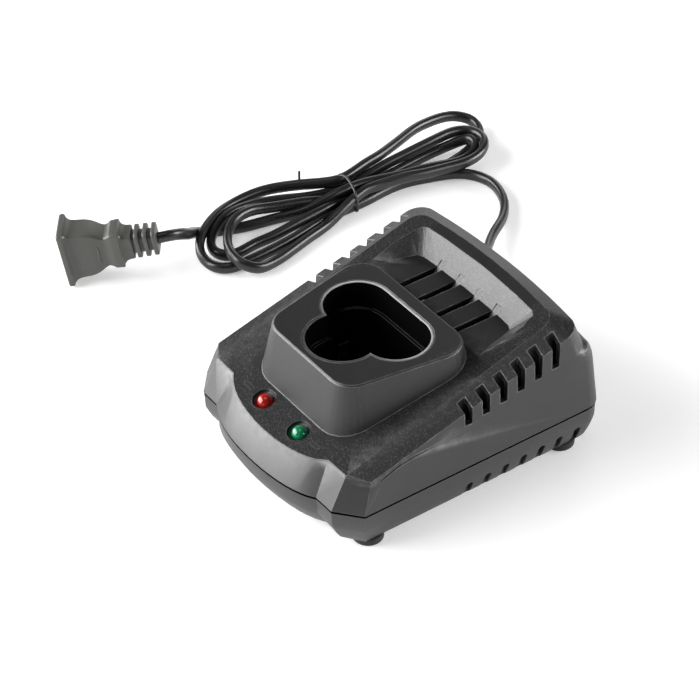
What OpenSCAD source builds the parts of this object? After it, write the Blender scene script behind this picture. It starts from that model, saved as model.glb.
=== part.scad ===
/* [Housing] */
// Width of the housing across its sides
body_w = 90; // [86:1:96]
// Length of the housing from the nose to the middle of the rear wall
body_d = 115; // [112:1:120]
// Height of the line where the two shells part
part_z = 17.6; // [16.5:0.1:19]
// Open joint between the two shells
seam = 0.8; // [0.4:0.1:1.2]
// Wall of both shells
wall = 2; // [1.6:0.1:2.4]
// Running clearance between pieces that fit together
clearance = 0.2; // [0.1:0.05:0.3]
// Height that the lip of the lower shell reaches into the upper one
lip_h = 2; // [1:0.5:3]

/* [Deck] */
// Slope of the deck in degrees
deck_angle = 16.6; // [15.5:0.1:17.5]
// Height of the deck at its two front corners
deck_front_z = 29.75; // [28.5:0.05:31]
// Width of the slanting border beside the deck
bevel_w = 6.7; // [5:0.1:8]
// Drop of the border below the deck at the front
bevel_drop_front = 1.8; // [1.4:0.1:2.4]
// Drop of the border below the deck at the rear
bevel_drop_rear = 3.85; // [3:0.05:4.5]
// Height of the ledge along the sides where it begins
ledge_z = 32.1; // [31:0.1:33]
// Rise of that ledge towards the rear
ledge_rise = 2.8; // [2:0.1:3.2]
// Greatest height of the step above the ledge
step_h = 7.4; // [6:0.1:8]

/* [Tower] */
// Width of the tower top at the front
tower_front_w = 44; // [42:0.5:46]
// Width of the tower top at the rear
tower_rear_w = 61.4; // [60:0.2:63]
// Length of the tower top
tower_d = 46.2; // [45.5:0.1:48]
// Height of the tower top at its front edge
tower_front_z = 50.3; // [49:0.1:52]
// Slope of the tower top in degrees
tower_tilt = 2.2; // [1.5:0.1:3]
// Draft of the tower walls in degrees
tower_draft = 11.5; // [9:0.5:13]
// Corner radius of the tower top
tower_r = 8.5; // [7:0.5:10]

/* [Battery well] */
// Radius of the front lobe of the well
front_lobe_r = 12.2; // [11.5:0.1:12.6]
// Radius of the two rear lobes of the well
rear_lobe_r = 11.3; // [10.9:0.1:11.6]
// Distance of each rear lobe from the middle
rear_lobe_x = 10.7; // [10:0.1:11]
// Distance between the front lobe and the rear lobes along the housing
lobe_gap = 13.6; // [13:0.1:14.2]
// Height of the floor of the well
well_floor_z = 15; // [14:0.5:17]
// Wall of the well liner
well_wall = 1.4; // [1.2:0.1:1.8]
// Wall of the collar that shows round the mouth
collar_w = 0.8; // [0.6:0.1:1]
// Depth of the shoulder inside the well
shoulder_depth = 9; // [7:0.5:12]
// Width of that shoulder
shoulder_w = 1.2; // [0.8:0.1:1.6]

/* [Rear tray] */
// Height of the level floor behind the tower
tray_z = 46.9; // [46:0.1:47.5]
// Number of vent slots in that floor
tray_slots = 4; // [2:2:6]
// Width of one vent slot in the floor
tray_slot_w = 2.5; // [1.5:0.1:3.5]
// Distance between vent slots in the floor
tray_slot_pitch = 9.9; // [9:0.1:10.5]

/* [Side vents] */
// Number of vents in each upper side
vent_count = 6; // [3:1:6]
// Distance between upper side vents
vent_pitch = 7.05; // [6:0.05:7.1]
// Width of one upper side vent
vent_w = 3.6; // [2.5:0.1:4.2]
// Depth of the upper side vents
vent_depth = 4.3; // [4:0.1:5]
// Number of slots in each lower side
slot_count = 7; // [4:1:7]
// Distance between lower side slots
slot_pitch = 7.43; // [6.5:0.01:7.5]
// Width of one lower side slot
slot_w = 2.9; // [2:0.1:3.6]
// Height of the top of the first lower slot
slot_top = 9.6; // [8.5:0.1:10.5]

/* [Lamps] */
// Diameter of a lamp
lamp_d = 5.6; // [5:0.1:6]
// Distance of each lamp from the middle
lamp_x = 9.8; // [8:0.1:11]
// Diameter of the chamfer round a lamp
lamp_rim_d = 8.2; // [7:0.1:9]

/* [Feet and screws] */
// Height of the rubber feet
foot_h = 3; // [2:0.5:4]
// Diameter of a rubber foot
foot_d = 10.5; // [8:0.5:11]
// Thread diameter of the housing screws
screw_d = 3; // [2.5:0.5:3.5]
// Length of a housing screw under its head
screw_len = 12; // [10:1:14]

/* [Cord] */
// Diameter of the cord
cord_d = 3.5; // [3:0.5:4]
// Length of the strain relief outside the housing
relief_len = 20; // [20:1:24]
// Thickness of the tied hank of cord
hank_h = 9; // [8:0.5:12]

/* [Hidden] */

half_w = body_w / 2;
front_y = -body_d / 2;
rear_y = body_d / 2;

// Number of steps along each stretch of half an outline
nose_n = 8;
side_n = 14;
corner_n = 6;
rear_n = 6;
side_first = nose_n + 2;
side_last = side_first + side_n;
corner_last = side_last + corner_n;
half_last = corner_last + rear_n;

function mix(a, b, t) = a + (b - a) * t;
function clamp01(t) = min(1, max(0, t));
function ease(t) = let (c = clamp01(t)) c * c * (3 - 2 * c);
function nose_shape(t) = 0.69 * t * t + 0.31 * pow(t, 6);

// A full ring from the points of its right half, front to rear
function mirrored(half) = concat(half,
    [for (i = [len(half) - 2 : -1 : 1]) [-half[i][0], half[i][1], half[i][2]]]);

// Solid between rings of equal length, lowest first, each counter-clockwise from above
module loft(rings) {
    n = len(rings[0]);
    last = len(rings) - 1;
    // The end faces start at the middle of the ring, from where their whole outline is in view
    middle = floor(n / 2);
    sides = [for (k = [0 : last - 1]) for (i = [0 : n - 1])
        let (a = k * n + i, b = k * n + (i + 1) % n)
        each [[a, a + n, b + n], [a, b + n, b]]];
    floor_face = [for (i = [0 : n - 1]) (i + middle) % n];
    roof_face = [for (i = [0 : n - 1]) last * n + (n + middle - i) % n];
    polyhedron(points = [for (r = rings) each r], faces = concat(sides, [floor_face, roof_face]));
}

// ---- Outline of the parting line ----
nose_half = half_w - 16.4;
nose_drop = 6.3;
facet_x = half_w - 8.5;
facet_y = front_y + 6.4;
chamfer_y = front_y + 13.6;
corner_r = 7.5;
corner_y = rear_y - 10.2;
rear_bow = 2.7;

// Right half of the parting outline, drawn in by inset at the sides and front_inset at the nose
function base_half(inset, front_inset, z) = concat(
    [for (i = [0 : nose_n]) let (t = i / nose_n)
        [(nose_half - inset / 4) * t, front_y + front_inset + nose_drop * nose_shape(t), z]],
    [[facet_x - inset / 3, facet_y + front_inset * 0.85, z]],
    [for (i = [0 : side_n])
        [half_w - inset, mix(chamfer_y + inset * 0.8, corner_y, i / side_n), z]],
    [for (i = [1 : corner_n]) let (a = 90 * i / corner_n)
        [half_w - corner_r + (corner_r - inset) * cos(a), corner_y + (corner_r - inset) * sin(a), z]],
    [for (i = [1 : rear_n]) let (t = i / rear_n)
        [(half_w - corner_r) * (1 - t),
            corner_y + corner_r - inset + rear_bow * (1 - (1 - t) * (1 - t)), z]]);
function base_ring(inset, z, front_inset) =
    mirrored(base_half(inset, is_undef(front_inset) ? inset : front_inset, z));

// ---- Outer form of the upper shell ----
deck_front_y = front_y + 12.2;
deck_slope = tan(deck_angle);
function deck_z(y) = deck_front_z + deck_slope * (y - deck_front_y);

// Levels: parting line, ledge, three steps of the shoulder, top of the step, border edge, deck fold
EDGE = 6;
FOLD = 7;
side_in = [0, 0.9, 1.08, 1.26, 1.41, 1.5, 1.8, 1.8 + bevel_w];
rear_in = [0, 2.4, 2.9, 3.75, 4.85, 6.7, 10.3, 16];
level_r = [corner_r, 6.6, 6.5, 6.5, 6.5, 7, 7, 6];
level_bow = [2.7, 2.7, 2.7, 2.7, 2.7, 2.7, 2.5, 1.7];
front_share = [0, 0.7, 0.76, 0.82, 0.87, 0.92, 0.965, 1];
chamfer_share = [0, 0.8, 0.82, 0.84, 0.86, 0.88, 1, 1];
step_share = [0, 0, 0.3, 0.6, 0.85, 1, 1, 1];
shoulder_z = [0, 35, 38, 40.5, 41.9, 42.9, 0, 0];
ledge_start_y = front_y + 30.5;
ledge_run = rear_y - 15.5 - ledge_start_y;
step_run = 75;
edge_first_y = front_y + 17.3;
edge_last_y = rear_y - 22.1;
edge_inset = 0.3;

function level_corner_y(k) = corner_y + corner_r - rear_in[k] - level_r[k];
function level_first_y(k) = k == FOLD
    ? deck_front_y + 1
    : mix(chamfer_y, edge_first_y, chamfer_share[k]);
function edge_z(y) = deck_z(y)
    - mix(bevel_drop_front, bevel_drop_rear, (y - edge_first_y) / (edge_last_y - edge_first_y));

// Height of the ledge at y, which runs out in the border edge towards the front
function ledge_law(y) = y < ledge_start_y
    ? mix(mix(part_z, edge_z(edge_first_y), chamfer_share[1]), ledge_z,
        clamp01((y - level_first_y(1)) / (ledge_start_y - level_first_y(1))))
    : ledge_z + ledge_rise * pow((y - ledge_start_y) / ledge_run, 2.6);
function step_law(y) = 0.4 + (step_h - 0.4)
    * pow(sin(90 * clamp01((y - ledge_start_y) / step_run)), 2);
function ledge_height(y) = min(ledge_law(y), edge_z(y) - 0.95);
function side_z(k, y) =
    k == 0 ? part_z + seam / 2 :
    k == FOLD ? deck_z(y) :
    k == EDGE ? edge_z(y) :
    let (low = ledge_height(y), high = min(low + step_law(y), edge_z(y) - 0.5))
    mix(low, high, step_share[k]);
function rear_z(k, y, a) =
    k == 0 || k == FOLD ? side_z(k, y) :
    k == EDGE ? mix(edge_z(level_corner_y(k)), deck_z(level_corner_y(k)) - 2.45, sin(a)) :
    mix(side_z(k, level_corner_y(k)), shoulder_z[k], ease(a / 70));

function front_low(i) = base_half(0, 0, part_z + seam / 2)[i];
function front_high(i) =
    let (t = i / nose_n)
    let (x = i > nose_n ? facet_x - 0.1 : (nose_half - 1.6) * t)
    let (y = i > nose_n ? deck_front_y : front_y + 5.3 + 6.8 * nose_shape(t))
    [x, y, deck_z(y)];
function front_point(k, i) = k == FOLD
    ? let (p = front_high(i), y = p[1] + edge_inset) [p[0] - (i > nose_n ? edge_inset : 0), y, deck_z(y)]
    : mix(front_low(i), front_high(i), front_share[k]);
function side_point(k, t) =
    let (y = mix(level_first_y(k), level_corner_y(k), t))
    let (x = k < EDGE && t == 0 ? half_w - side_in[EDGE] * chamfer_share[k] : half_w - side_in[k])
    [x, y, side_z(k, y)];
function corner_point(k, a) =
    let (x = half_w - side_in[k] - level_r[k] * (1 - cos(a)), y = level_corner_y(k) + level_r[k] * sin(a))
    [x, y, rear_z(k, y, a)];
function rear_point(k, t) =
    let (x = (half_w - side_in[k] - level_r[k]) * (1 - t))
    let (y = level_corner_y(k) + level_r[k] + level_bow[k] * (1 - (1 - t) * (1 - t)))
    [x, y, rear_z(k, y, 90)];
function outer_point(k, i) =
    i < side_first ? front_point(k, i) :
    i <= side_last ? side_point(k, (i - side_first) / side_n) :
    i <= corner_last ? corner_point(k, 90 * (i - side_last) / corner_n) :
    rear_point(k, (i - corner_last) / rear_n);

module cover_form() {
    loft([for (k = [0 : FOLD]) mirrored([for (i = [0 : half_last]) outer_point(k, i)])]);
}

// ---- Cavity of the upper shell, one wall inside its outer form ----
roof_drop = wall / cos(deck_angle);
inner_share = [0, 0.55, 0.6, 0.65, 0.7, 0.75, 1, 1];
function inward(i) =
    i <= nose_n ? [0, 1] :
    i == nose_n + 1 ? [-0.85, 1] :
    i == side_first ? [-1, 0.75] :
    i <= side_last ? [-1, 0] :
    let (a = min(90, 90 * (i - side_last) / corner_n)) [-cos(a), -sin(a)];
function rear_weight(i) = ease((i - side_last) / corner_n);
function sunk(p, i, drop) = [p[0] + wall * inward(i)[0], p[1] + wall * inward(i)[1], p[2] - drop];
function inner_top(i) = let (p = sunk(outer_point(FOLD, i), i, 0)) [p[0], p[1], deck_z(p[1]) - roof_drop];
function inner_point(k, i) =
    let (low = sunk(outer_point(0, i), i, seam / 2 + wall))
    let (top = i < side_first ? inner_top(i) : sunk(outer_point(EDGE, i), i, wall * 0.66))
    k == FOLD ? inner_top(i) :
    i < side_first ? mix(low, top, min(0.97, inner_share[k])) :
    mix(mix(low, top, inner_share[k]),
        k == 0 ? low : k == EDGE ? top : sunk(outer_point(k, i), i, wall * 0.5), rear_weight(i));

module cover_cavity() {
    loft([for (k = [0, 1, 3, 5, EDGE, FOLD]) mirrored([for (i = [0 : half_last]) inner_point(k, i)])]);
}

// ---- Tower ----
tower_y = front_y + 21.9;
tower_end_y = tower_y + tower_d;
tower_lean = atan((tower_rear_w - tower_front_w) / 2 / tower_d);
tower_arc_n = 7;
tower_edge_r = 0.5;
function tower_top_z(y) = tower_front_z + tan(tower_tilt) * (y - tower_y);
front_centre_x = tower_front_w / 2 - tower_r * (1 - sin(tower_lean)) / cos(tower_lean);
rear_centre_x = tower_rear_w / 2 - tower_r * (1 + sin(tower_lean)) / cos(tower_lean);
tower_low_z = deck_z(tower_y) - 6;

// Right half of a tower ring that stands grow outside the top outline
function tower_half(grow) = concat(
    [for (i = [0 : tower_arc_n]) let (a = mix(-90, -tower_lean, i / tower_arc_n))
        [front_centre_x + (tower_r + grow) * cos(a), tower_y + tower_r + (tower_r + grow) * sin(a)]],
    [for (i = [0 : tower_arc_n]) let (a = mix(-tower_lean, 90, i / tower_arc_n))
        [rear_centre_x + (tower_r + grow) * cos(a), tower_end_y - tower_r + (tower_r + grow) * sin(a)]]);
function both_sides(half) = concat(half,
    [for (i = [len(half) - 1 : -1 : 0]) [-half[i][0], half[i][1], half[i][2]]]);
function tower_ring(grow, drop) =
    both_sides([for (p = tower_half(grow)) [p[0], p[1], tower_top_z(p[1]) - drop]]);
// Lower ring of the drafted walls, each point pushed out along its own normal
function tower_base(inset, below) =
    let (low_z = tower_low_z - below)
    let (half = concat(
        [for (i = [0 : tower_arc_n]) let (a = mix(-90, -tower_lean, i / tower_arc_n))
            [front_centre_x, tower_y + tower_r, a]],
        [for (i = [0 : tower_arc_n]) let (a = mix(-tower_lean, 90, i / tower_arc_n))
            [rear_centre_x, tower_end_y - tower_r, a]]))
    both_sides([for (c = half)
        let (y_top = c[1] + tower_r * sin(c[2]))
        let (reach = tower_r - inset + (tower_top_z(y_top) - low_z) * tan(tower_draft))
        [c[0] + reach * cos(c[2]), c[1] + reach * sin(c[2]), low_z]]);

module tower_form() {
    loft([tower_base(0, 0), tower_ring(tower_edge_r * tan(tower_draft), tower_edge_r),
        tower_ring(-tower_edge_r, 0)]);
}
module tower_cavity() {
    top_grow = wall * tan(tower_draft) - wall;
    loft([tower_base(wall, 1), tower_ring(top_grow, wall)]);
}

// ---- Battery well ----
front_lobe_y = tower_y + front_lobe_r + well_wall + wall * (1 - tan(tower_draft)) + clearance;
rear_lobe_y = front_lobe_y + lobe_gap;
well_back_y = rear_lobe_y + rear_lobe_r;
well_under_z = well_floor_z - 2;

module trefoil(grow) {
    translate([0, front_lobe_y])
        circle(r = front_lobe_r + grow, $fn = 64);
    for (side = [-1, 1])
        translate([side * rear_lobe_x, rear_lobe_y])
            circle(r = rear_lobe_r + grow, $fn = 64);
    translate([-rear_lobe_x, rear_lobe_y])
        square([2 * rear_lobe_x, rear_lobe_r + grow]);
    polygon([[0, front_lobe_y], [rear_lobe_x, rear_lobe_y], [-rear_lobe_x, rear_lobe_y]]);
}
// Column of the well outline from low up to depth below the tower top
module well_column(grow, low, depth) {
    difference() {
        translate([0, 0, low])
            linear_extrude(60 - low)
                trefoil(grow);
        translate([0, tower_y, tower_front_z - depth])
            rotate([tower_tilt, 0, 0])
                translate([-body_w, -body_d, 0])
                    cube([2 * body_w, 2 * body_d, 30]);
    }
}

// ---- Rear tray ----
tray_front_y = tower_end_y - 2.6;
tray_back_y = rear_y - 27.1;
tray_n = 4;
tray_half = half_w - 14.6;

// Right half of the tray floor and of its mouth on the deck
function tray_floor_half() = [
    [tray_half, tray_front_y, tray_z],
    [tray_half - 0.8, tower_end_y + 2, tray_z],
    [tray_half - 2.6, mix(tower_end_y, tray_back_y, 0.4), tray_z],
    [tray_half - 4.1, mix(tower_end_y, tray_back_y, 0.72), tray_z],
    [tray_half - 5.4, tray_back_y - 1.6, tray_z],
    [tray_half - 7.6, tray_back_y - 0.5, tray_z],
    [tray_half - 14, tray_back_y, tray_z],
    [0, tray_back_y + 0.3, tray_z]];
function tray_mouth_half() = [
    [tray_half + 1.2, tray_front_y],
    [tray_half + 1.2, tower_end_y + 2.5],
    [tray_half + 1.1, mix(tower_end_y, tray_back_y, 0.6)],
    [tray_half + 0.6, mix(tower_end_y, tray_back_y, 0.95)],
    [tray_half - 0.6, tray_back_y + 3.8],
    [tray_half - 2.4, tray_back_y + 4.9],
    [tray_half - 12, tray_back_y + 5.7],
    [0, tray_back_y + 6.3]];
function tray_ring(half) = concat(half, [for (i = [len(half) - 2 : -1 : 0]) [-half[i][0], half[i][1], half[i][2]]]);

// The tray as a solid, grown outwards by grow and with its walls run on above the deck
module tray_form(grow) {
    low = tray_floor_half();
    high = [for (p = tray_mouth_half()) [p[0], p[1], max(deck_z(p[1]), tray_z + 0.05)]];
    past = 0.3;
    function out(p) = [p[0] + (p[0] > 0 ? grow : 0), p[1] + (p[1] > tray_front_y ? grow * 0.7 : 0), p[2]];
    loft([tray_ring([for (p = low) out(p) - [0, 0, grow]]),
        tray_ring([for (i = [0 : len(low) - 1])
            let (p = high[i] + past * (high[i] - low[i]))
            out([p[0], p[1], max(p[2], tray_z + 1)])])]);
}

// ---- Screws, posts, feet ----
board_z = foot_h + wall + 3.5;
board_t = 1.6;
board_top = board_z + board_t;
post_z = part_z - 2.6;
post_d = screw_d + 3.6;
boss_d = screw_d + 6;
screw_seat_z = foot_h + 5;
screw_head_d = screw_d + 2.6;
screw_head_h = 2.4;
front_post = [half_w - 19.5, front_y + 16.6];
rear_post = [half_w - 30, rear_y - 9.5];
foot_x = half_w - 6.4;
foot_front_y = front_y + 19;
foot_rear_y = rear_y - 14;
foot_peg_d = 4;
foot_peg_h = 3.5;

module at_posts() {
    for (side = [-1, 1]) {
        translate([side * front_post[0], front_post[1], 0])
            children();
        translate([side * rear_post[0], rear_post[1], 0])
            children();
    }
}
module at_feet() {
    for (side = [-1, 1])
        for (y = [foot_front_y, foot_rear_y])
            translate([side * foot_x, y, 0])
                children();
}

// ---- Lamps ----
lamp_y = front_y + 12.9;
lamp_depth = 0.5;
lamp_base = 8.6;
lamp_board_t = 1.6;
lamp_board_w = 32;
lamp_board_d = 10;
lamp_post_x = 13.5;
module on_deck() {
    translate([0, lamp_y, deck_z(lamp_y)])
        rotate([deck_angle, 0, 0])
            children();
}

// ---- Upper shell ----
vent_first_y = rear_y - 59.4;
vent_end_x = half_w - side_in[EDGE] - vent_depth;
baffle_t = 1.5;
slot_first_y = rear_y - 58.35;
slot_in_x = half_w - 4.1;

module side_vents() {
    for (i = [0 : vent_count - 1])
        let (y = vent_first_y + i * vent_pitch, low = side_z(5, y))
        translate([vent_end_x, y, low])
            rotate([90, 0, 90])
                linear_extrude(vent_depth + 6)
                    polygon([[-vent_w / 2 + 0.35, 0], [vent_w / 2 - 0.35, 0],
                        [vent_w / 2 + 0.1, 16], [-vent_w / 2 - 0.1, 16]]);
}
module baffle() {
    translate([vent_end_x - baffle_t, vent_first_y - vent_pitch / 2, ledge_z - 1])
        cube([baffle_t, vent_count * vent_pitch, 60]);
}
module tray_vents() {
    for (i = [0 : tray_slots - 1])
        translate([(i - (tray_slots - 1) / 2) * tray_slot_pitch - tray_slot_w / 2, 0, 0])
            rotate([90, 0, 90])
                linear_extrude(tray_slot_w)
                    polygon([[tower_end_y + 1.6, tray_z - 8], [tray_back_y - 6.9, tray_z - 8],
                        [tray_back_y + 2, tray_z + 2], [tower_end_y + 1.6, tray_z + 2]]);
}

module top_cover() {
    color([0.22, 0.23, 0.24])
    difference() {
        union() {
            difference() {
                union() {
                    difference() {
                        cover_form();
                        cover_cavity();
                    }
                    intersection() {
                        cover_form();
                        union() {
                            tray_form(wall);
                            baffle();
                            mirror([1, 0, 0])
                                baffle();
                            at_posts()
                                translate([0, 0, post_z])
                                    cylinder(d = post_d, h = 60, $fn = 24);
                        }
                    }
                }
                tray_form(0);
                tower_cavity();
            }
            difference() {
                tower_form();
                tower_cavity();
                cover_cavity();
            }
            on_deck()
                for (side = [-1, 1])
                    translate([side * lamp_post_x, 0, -lamp_base - 1])
                        cylinder(d = 4, h = lamp_base, $fn = 24);
        }
        well_column(collar_w + clearance, tower_low_z, -1);
        tray_vents();
        side_vents();
        mirror([1, 0, 0])
            side_vents();
        at_posts()
            translate([0, 0, post_z - 1])
                cylinder(d = screw_d + clearance, h = screw_len + 3, $fn = 24);
        on_deck()
            for (side = [-1, 1])
                translate([side * lamp_x, 0, 0]) {
                    translate([0, 0, -6])
                        cylinder(d = lamp_d + 2 * clearance, h = 12, $fn = 32);
                    translate([0, 0, -1.2])
                        cylinder(d1 = lamp_d + 2 * clearance, d2 = lamp_rim_d + 0.4, h = 1.4, $fn = 32);
                }
        lip_space(wall / 2 - clearance / 2, part_z - 1, part_z + lip_h + clearance);
    }
}

// ---- Lower shell ----
under_inset = [3.9, 2.9, 2.1, 1.5, 0.8, 0.4];
under_rise = [0, 1.4, 3.3, 4.9, 7.2, 8.7];
under_front = 1.75;
nose_lean = 5.3 / (deck_z(front_y + 5.3) - part_z);
under_top_z = part_z - seam / 2;

module under_form(inset, low) {
    loft(concat(
        [for (k = [0 : len(under_inset) - 1])
            base_ring(under_inset[k] + inset, foot_h + low + under_rise[k] * (1 - low / 14),
                under_inset[k] * under_front + inset)],
        [base_ring(0.3 + inset, under_top_z, 0.3 + inset)],
        inset > 0 ? [base_ring(inset, part_z + lip_h + 1, inset + nose_lean * (lip_h + 1))] : []));
}
// Block that follows the parting outline, drawn in by inset, and leans back at the nose
module lip_space(inset, low, high) {
    loft([base_ring(inset, low, inset + nose_lean * max(0, low - part_z)),
        base_ring(inset, high, inset + nose_lean * (high - part_z))]);
}
module lower_slots() {
    for (i = [0 : slot_count - 1])
        let (y = slot_first_y + i * slot_pitch, top = slot_top + i * 0.23)
        translate([slot_in_x, y, 0])
            rotate([90, 0, 90]) {
                translate([-slot_w / 2, foot_h - 1])
                    linear_extrude(8)
                        square([slot_w, top - slot_w / 2 - foot_h + 1]);
                translate([0, top - slot_w / 2])
                    cylinder(d = slot_w, h = 8, $fn = 24);
            }
}

// ---- Cord exit ----
exit_x = 17 - half_w;
exit_z = foot_h + 9;
exit_seat_y = rear_y - 2.5;
exit_wall = wall + 0.4;
exit_pad_w = 12;
relief_neck_d = cord_d + 3;
relief_flange = 1.4;
relief_end_y = exit_seat_y - exit_wall - relief_flange;
clamp_y = rear_y - 10.5;
clamp_screw_x = 4.8;
saddle_w = 14;
saddle_d = 5;

// What stands on the floor of the lower shell
module floor_bosses() {
    at_posts()
        cylinder(d = boss_d, h = post_z, $fn = 32);
    at_feet()
        cylinder(d = foot_peg_d + 3, h = foot_h + foot_peg_h + 1.5, $fn = 32);
    for (x = board_pins_x, y = board_pins_y)
        translate([x, y, 0]) {
            cylinder(d = 5, h = board_z, $fn = 24);
            cylinder(d = board_pin_d, h = board_top + 0.6, $fn = 24);
        }
    translate([exit_x - saddle_w / 2, clamp_y - saddle_d / 2, 0])
        cube([saddle_w, saddle_d, exit_z]);
    translate([exit_x - exit_pad_w / 2, exit_seat_y - exit_wall, 0])
        cube([exit_pad_w, exit_wall + 3, exit_z + 5]);
}

module bottom_cover() {
    color([0.2, 0.21, 0.22])
    difference() {
        union() {
            under_form(0, 0);
            lip_space(wall / 2 + clearance / 2, part_z - 3, part_z + lip_h);
        }
        difference() {
            under_form(wall, wall);
            floor_bosses();
        }
        lower_slots();
        mirror([1, 0, 0])
            lower_slots();
        at_posts() {
            translate([0, 0, foot_h - 1])
                cylinder(d = screw_head_d + 2 * clearance, h = screw_seat_z - foot_h + 1, $fn = 32);
            translate([0, 0, foot_h])
                cylinder(d = screw_d + 2 * clearance, h = 20, $fn = 24);
        }
        at_feet()
            translate([0, 0, foot_h - 1])
                cylinder(d = foot_peg_d + 2 * clearance, h = foot_peg_h + 1.3, $fn = 32);
        translate([exit_x, exit_seat_y, exit_z]) {
            rotate([90, 0, 0])
                cylinder(d = relief_neck_d + 2 * clearance, h = exit_wall + 1, $fn = 32);
            rotate([-90, 0, 0])
                cylinder(d = relief_neck_d + 2 * relief_flange + 2 * clearance, h = 6, $fn = 32);
        }
        translate([exit_x, clamp_y + 4, exit_z])
            rotate([90, 0, 0])
                cylinder(d = cord_d + clearance, h = 8, $fn = 24);
        for (side = [-1, 1])
            translate([exit_x + side * clamp_screw_x, clamp_y, foot_h + wall])
                cylinder(d = 2 + clearance, h = 10, $fn = 16);
    }
}

// ---- Battery well pieces ----
contact_x = 10.5;
contact_y = rear_lobe_y - 5.7;
contact_w = 4;
contact_t = 0.8;
contact_top = well_floor_z + 22.5;
sense_y = front_lobe_y - 9.6;

module contact_slots(gap) {
    for (side = [-1, 1])
        translate([side * contact_x - contact_t / 2 - gap, contact_y - contact_w / 2 - gap, board_top - 1])
            cube([contact_t + 2 * gap, contact_w + 2 * gap, 9]);
    translate([-contact_w / 2 - gap, sense_y - contact_t / 2 - gap, board_top - 1])
        cube([contact_w + 2 * gap, contact_t + 2 * gap, 9]);
}
module battery_well() {
    color([0.05, 0.05, 0.055])
    difference() {
        union() {
            well_column(well_wall, well_under_z, wall);
            well_column(collar_w, tower_front_z - shoulder_depth, 0.1);
        }
        well_column(0, tower_front_z - shoulder_depth, -1);
        well_column(-shoulder_w, well_floor_z, -1);
        contact_slots(clearance);
    }
}
module terminal_block() {
    color([0.12, 0.12, 0.13])
    difference() {
        translate([-contact_x - 3, sense_y - 3, board_top])
            cube([2 * contact_x + 6, contact_y + contact_w / 2 + 2 - sense_y + 3, well_under_z - board_top]);
        contact_slots(clearance);
    }
}
// Leaf of spring metal that stands on the board and bows towards lean near its top
module contact_leaf(top, lean) {
    steps = 12;
    bow_from = well_floor_z + 4;
    function bow(z) = lean * 1.2 * pow(sin(180 * clamp01((z - bow_from) / (top - bow_from))), 2);
    heights = [board_top, for (i = [0 : steps]) mix(bow_from, top, i / steps)];
    rotate([90, 0, 0])
        translate([0, 0, -contact_w / 2])
            linear_extrude(contact_w)
                polygon(concat([for (z = heights) [bow(z) - contact_t / 2, z]],
                    [for (i = [len(heights) - 1 : -1 : 0]) [bow(heights[i]) + contact_t / 2, heights[i]]]));
}
module contact_positive() {
    color("gold")
    translate([contact_x, contact_y, 0])
        contact_leaf(contact_top, 1);
}
module contact_negative() {
    color("gold")
    translate([-contact_x, contact_y, 0])
        contact_leaf(contact_top, -1);
}
module contact_thermistor() {
    color("gold")
    translate([0, sense_y, 0])
        rotate([0, 0, -90])
            contact_leaf(well_floor_z + 12, -1);
}

// ---- Lamps and their board ----
module lamp() {
    translate([0, 0, -lamp_base])
        cylinder(d = lamp_d, h = lamp_base - lamp_depth - lamp_d / 2, $fn = 32);
    translate([0, 0, -lamp_depth - lamp_d / 2])
        sphere(d = lamp_d, $fn = 32);
    translate([0, 0, -lamp_base - 1])
        cylinder(d = lamp_d + 0.6, h = 1, $fn = 32);
}
module led_red() {
    color([0.85, 0.15, 0.1])
    on_deck()
        translate([-lamp_x, 0, 0])
            lamp();
}
module led_green() {
    color([0.2, 0.75, 0.2])
    on_deck()
        translate([lamp_x, 0, 0])
            lamp();
}
module led_board() {
    color([0.05, 0.35, 0.15])
    on_deck()
        translate([-lamp_board_w / 2, -lamp_board_d / 2, -lamp_base - 1 - lamp_board_t])
            cube([lamp_board_w, lamp_board_d, lamp_board_t]);
}

// ---- Tubes swept along points ----
function unit(v) = v / norm(v);
function heading(route, i) =
    unit(route[min(i + 1, len(route) - 1)] - route[max(i - 1, 0)]);
function tube_ring(route, i, r, sides, up) =
    let (t = heading(route, i), u = unit(cross(up, t)), v = cross(t, u))
    [for (s = [0 : sides - 1]) let (a = 360 * (s + 0.5) / sides)
        route[i] + r * (cos(a) * u + sin(a) * v)];
module tube(route, radii, sides = 8, up = [0, 0, 1]) {
    loft([for (i = [0 : len(route) - 1])
        tube_ring(route, i, is_list(radii) ? radii[i] : radii, sides, up)]);
}

// ---- Boards and parts on them ----
board_half = half_w - 12;
board_pins_x = [-board_half + 3, board_half - 3];
board_pins_y = [front_y + 26, 8];
board_pin_d = 2;
board_front_y = front_y + 21.5;
board_rear_y = rear_y - 14.5;

module circuit_board() {
    color([0.05, 0.35, 0.15])
    difference() {
        translate([-board_half, board_front_y, board_z])
            cube([2 * board_half, board_rear_y - board_front_y, board_t]);
        for (x = board_pins_x, y = board_pins_y)
            translate([x, y, board_z - 1])
                cylinder(d = board_pin_d + 2 * clearance, h = board_t + 2, $fn = 24);
    }
}
module led_wires() {
    color([0.75, 0.1, 0.1])
    for (x = [-2, 0, 2])
        tube([[x, lamp_y + 7, deck_z(lamp_y) - 9.6], [x, lamp_y + 7.4, deck_z(lamp_y) - 12],
            [x, lamp_y + 8.6, deck_z(lamp_y) - 15.5], [x, board_front_y + 1.4, board_top]],
            0.6, 6, [1, 0, 0]);
}

core_x = -17;
core_y = tower_end_y + 10.9;
core_w = 26;
core_d = 9;
core_h = 21;
core_limb = 5;
core_window = [5.2, 13];
winding_d = 18;

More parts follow.
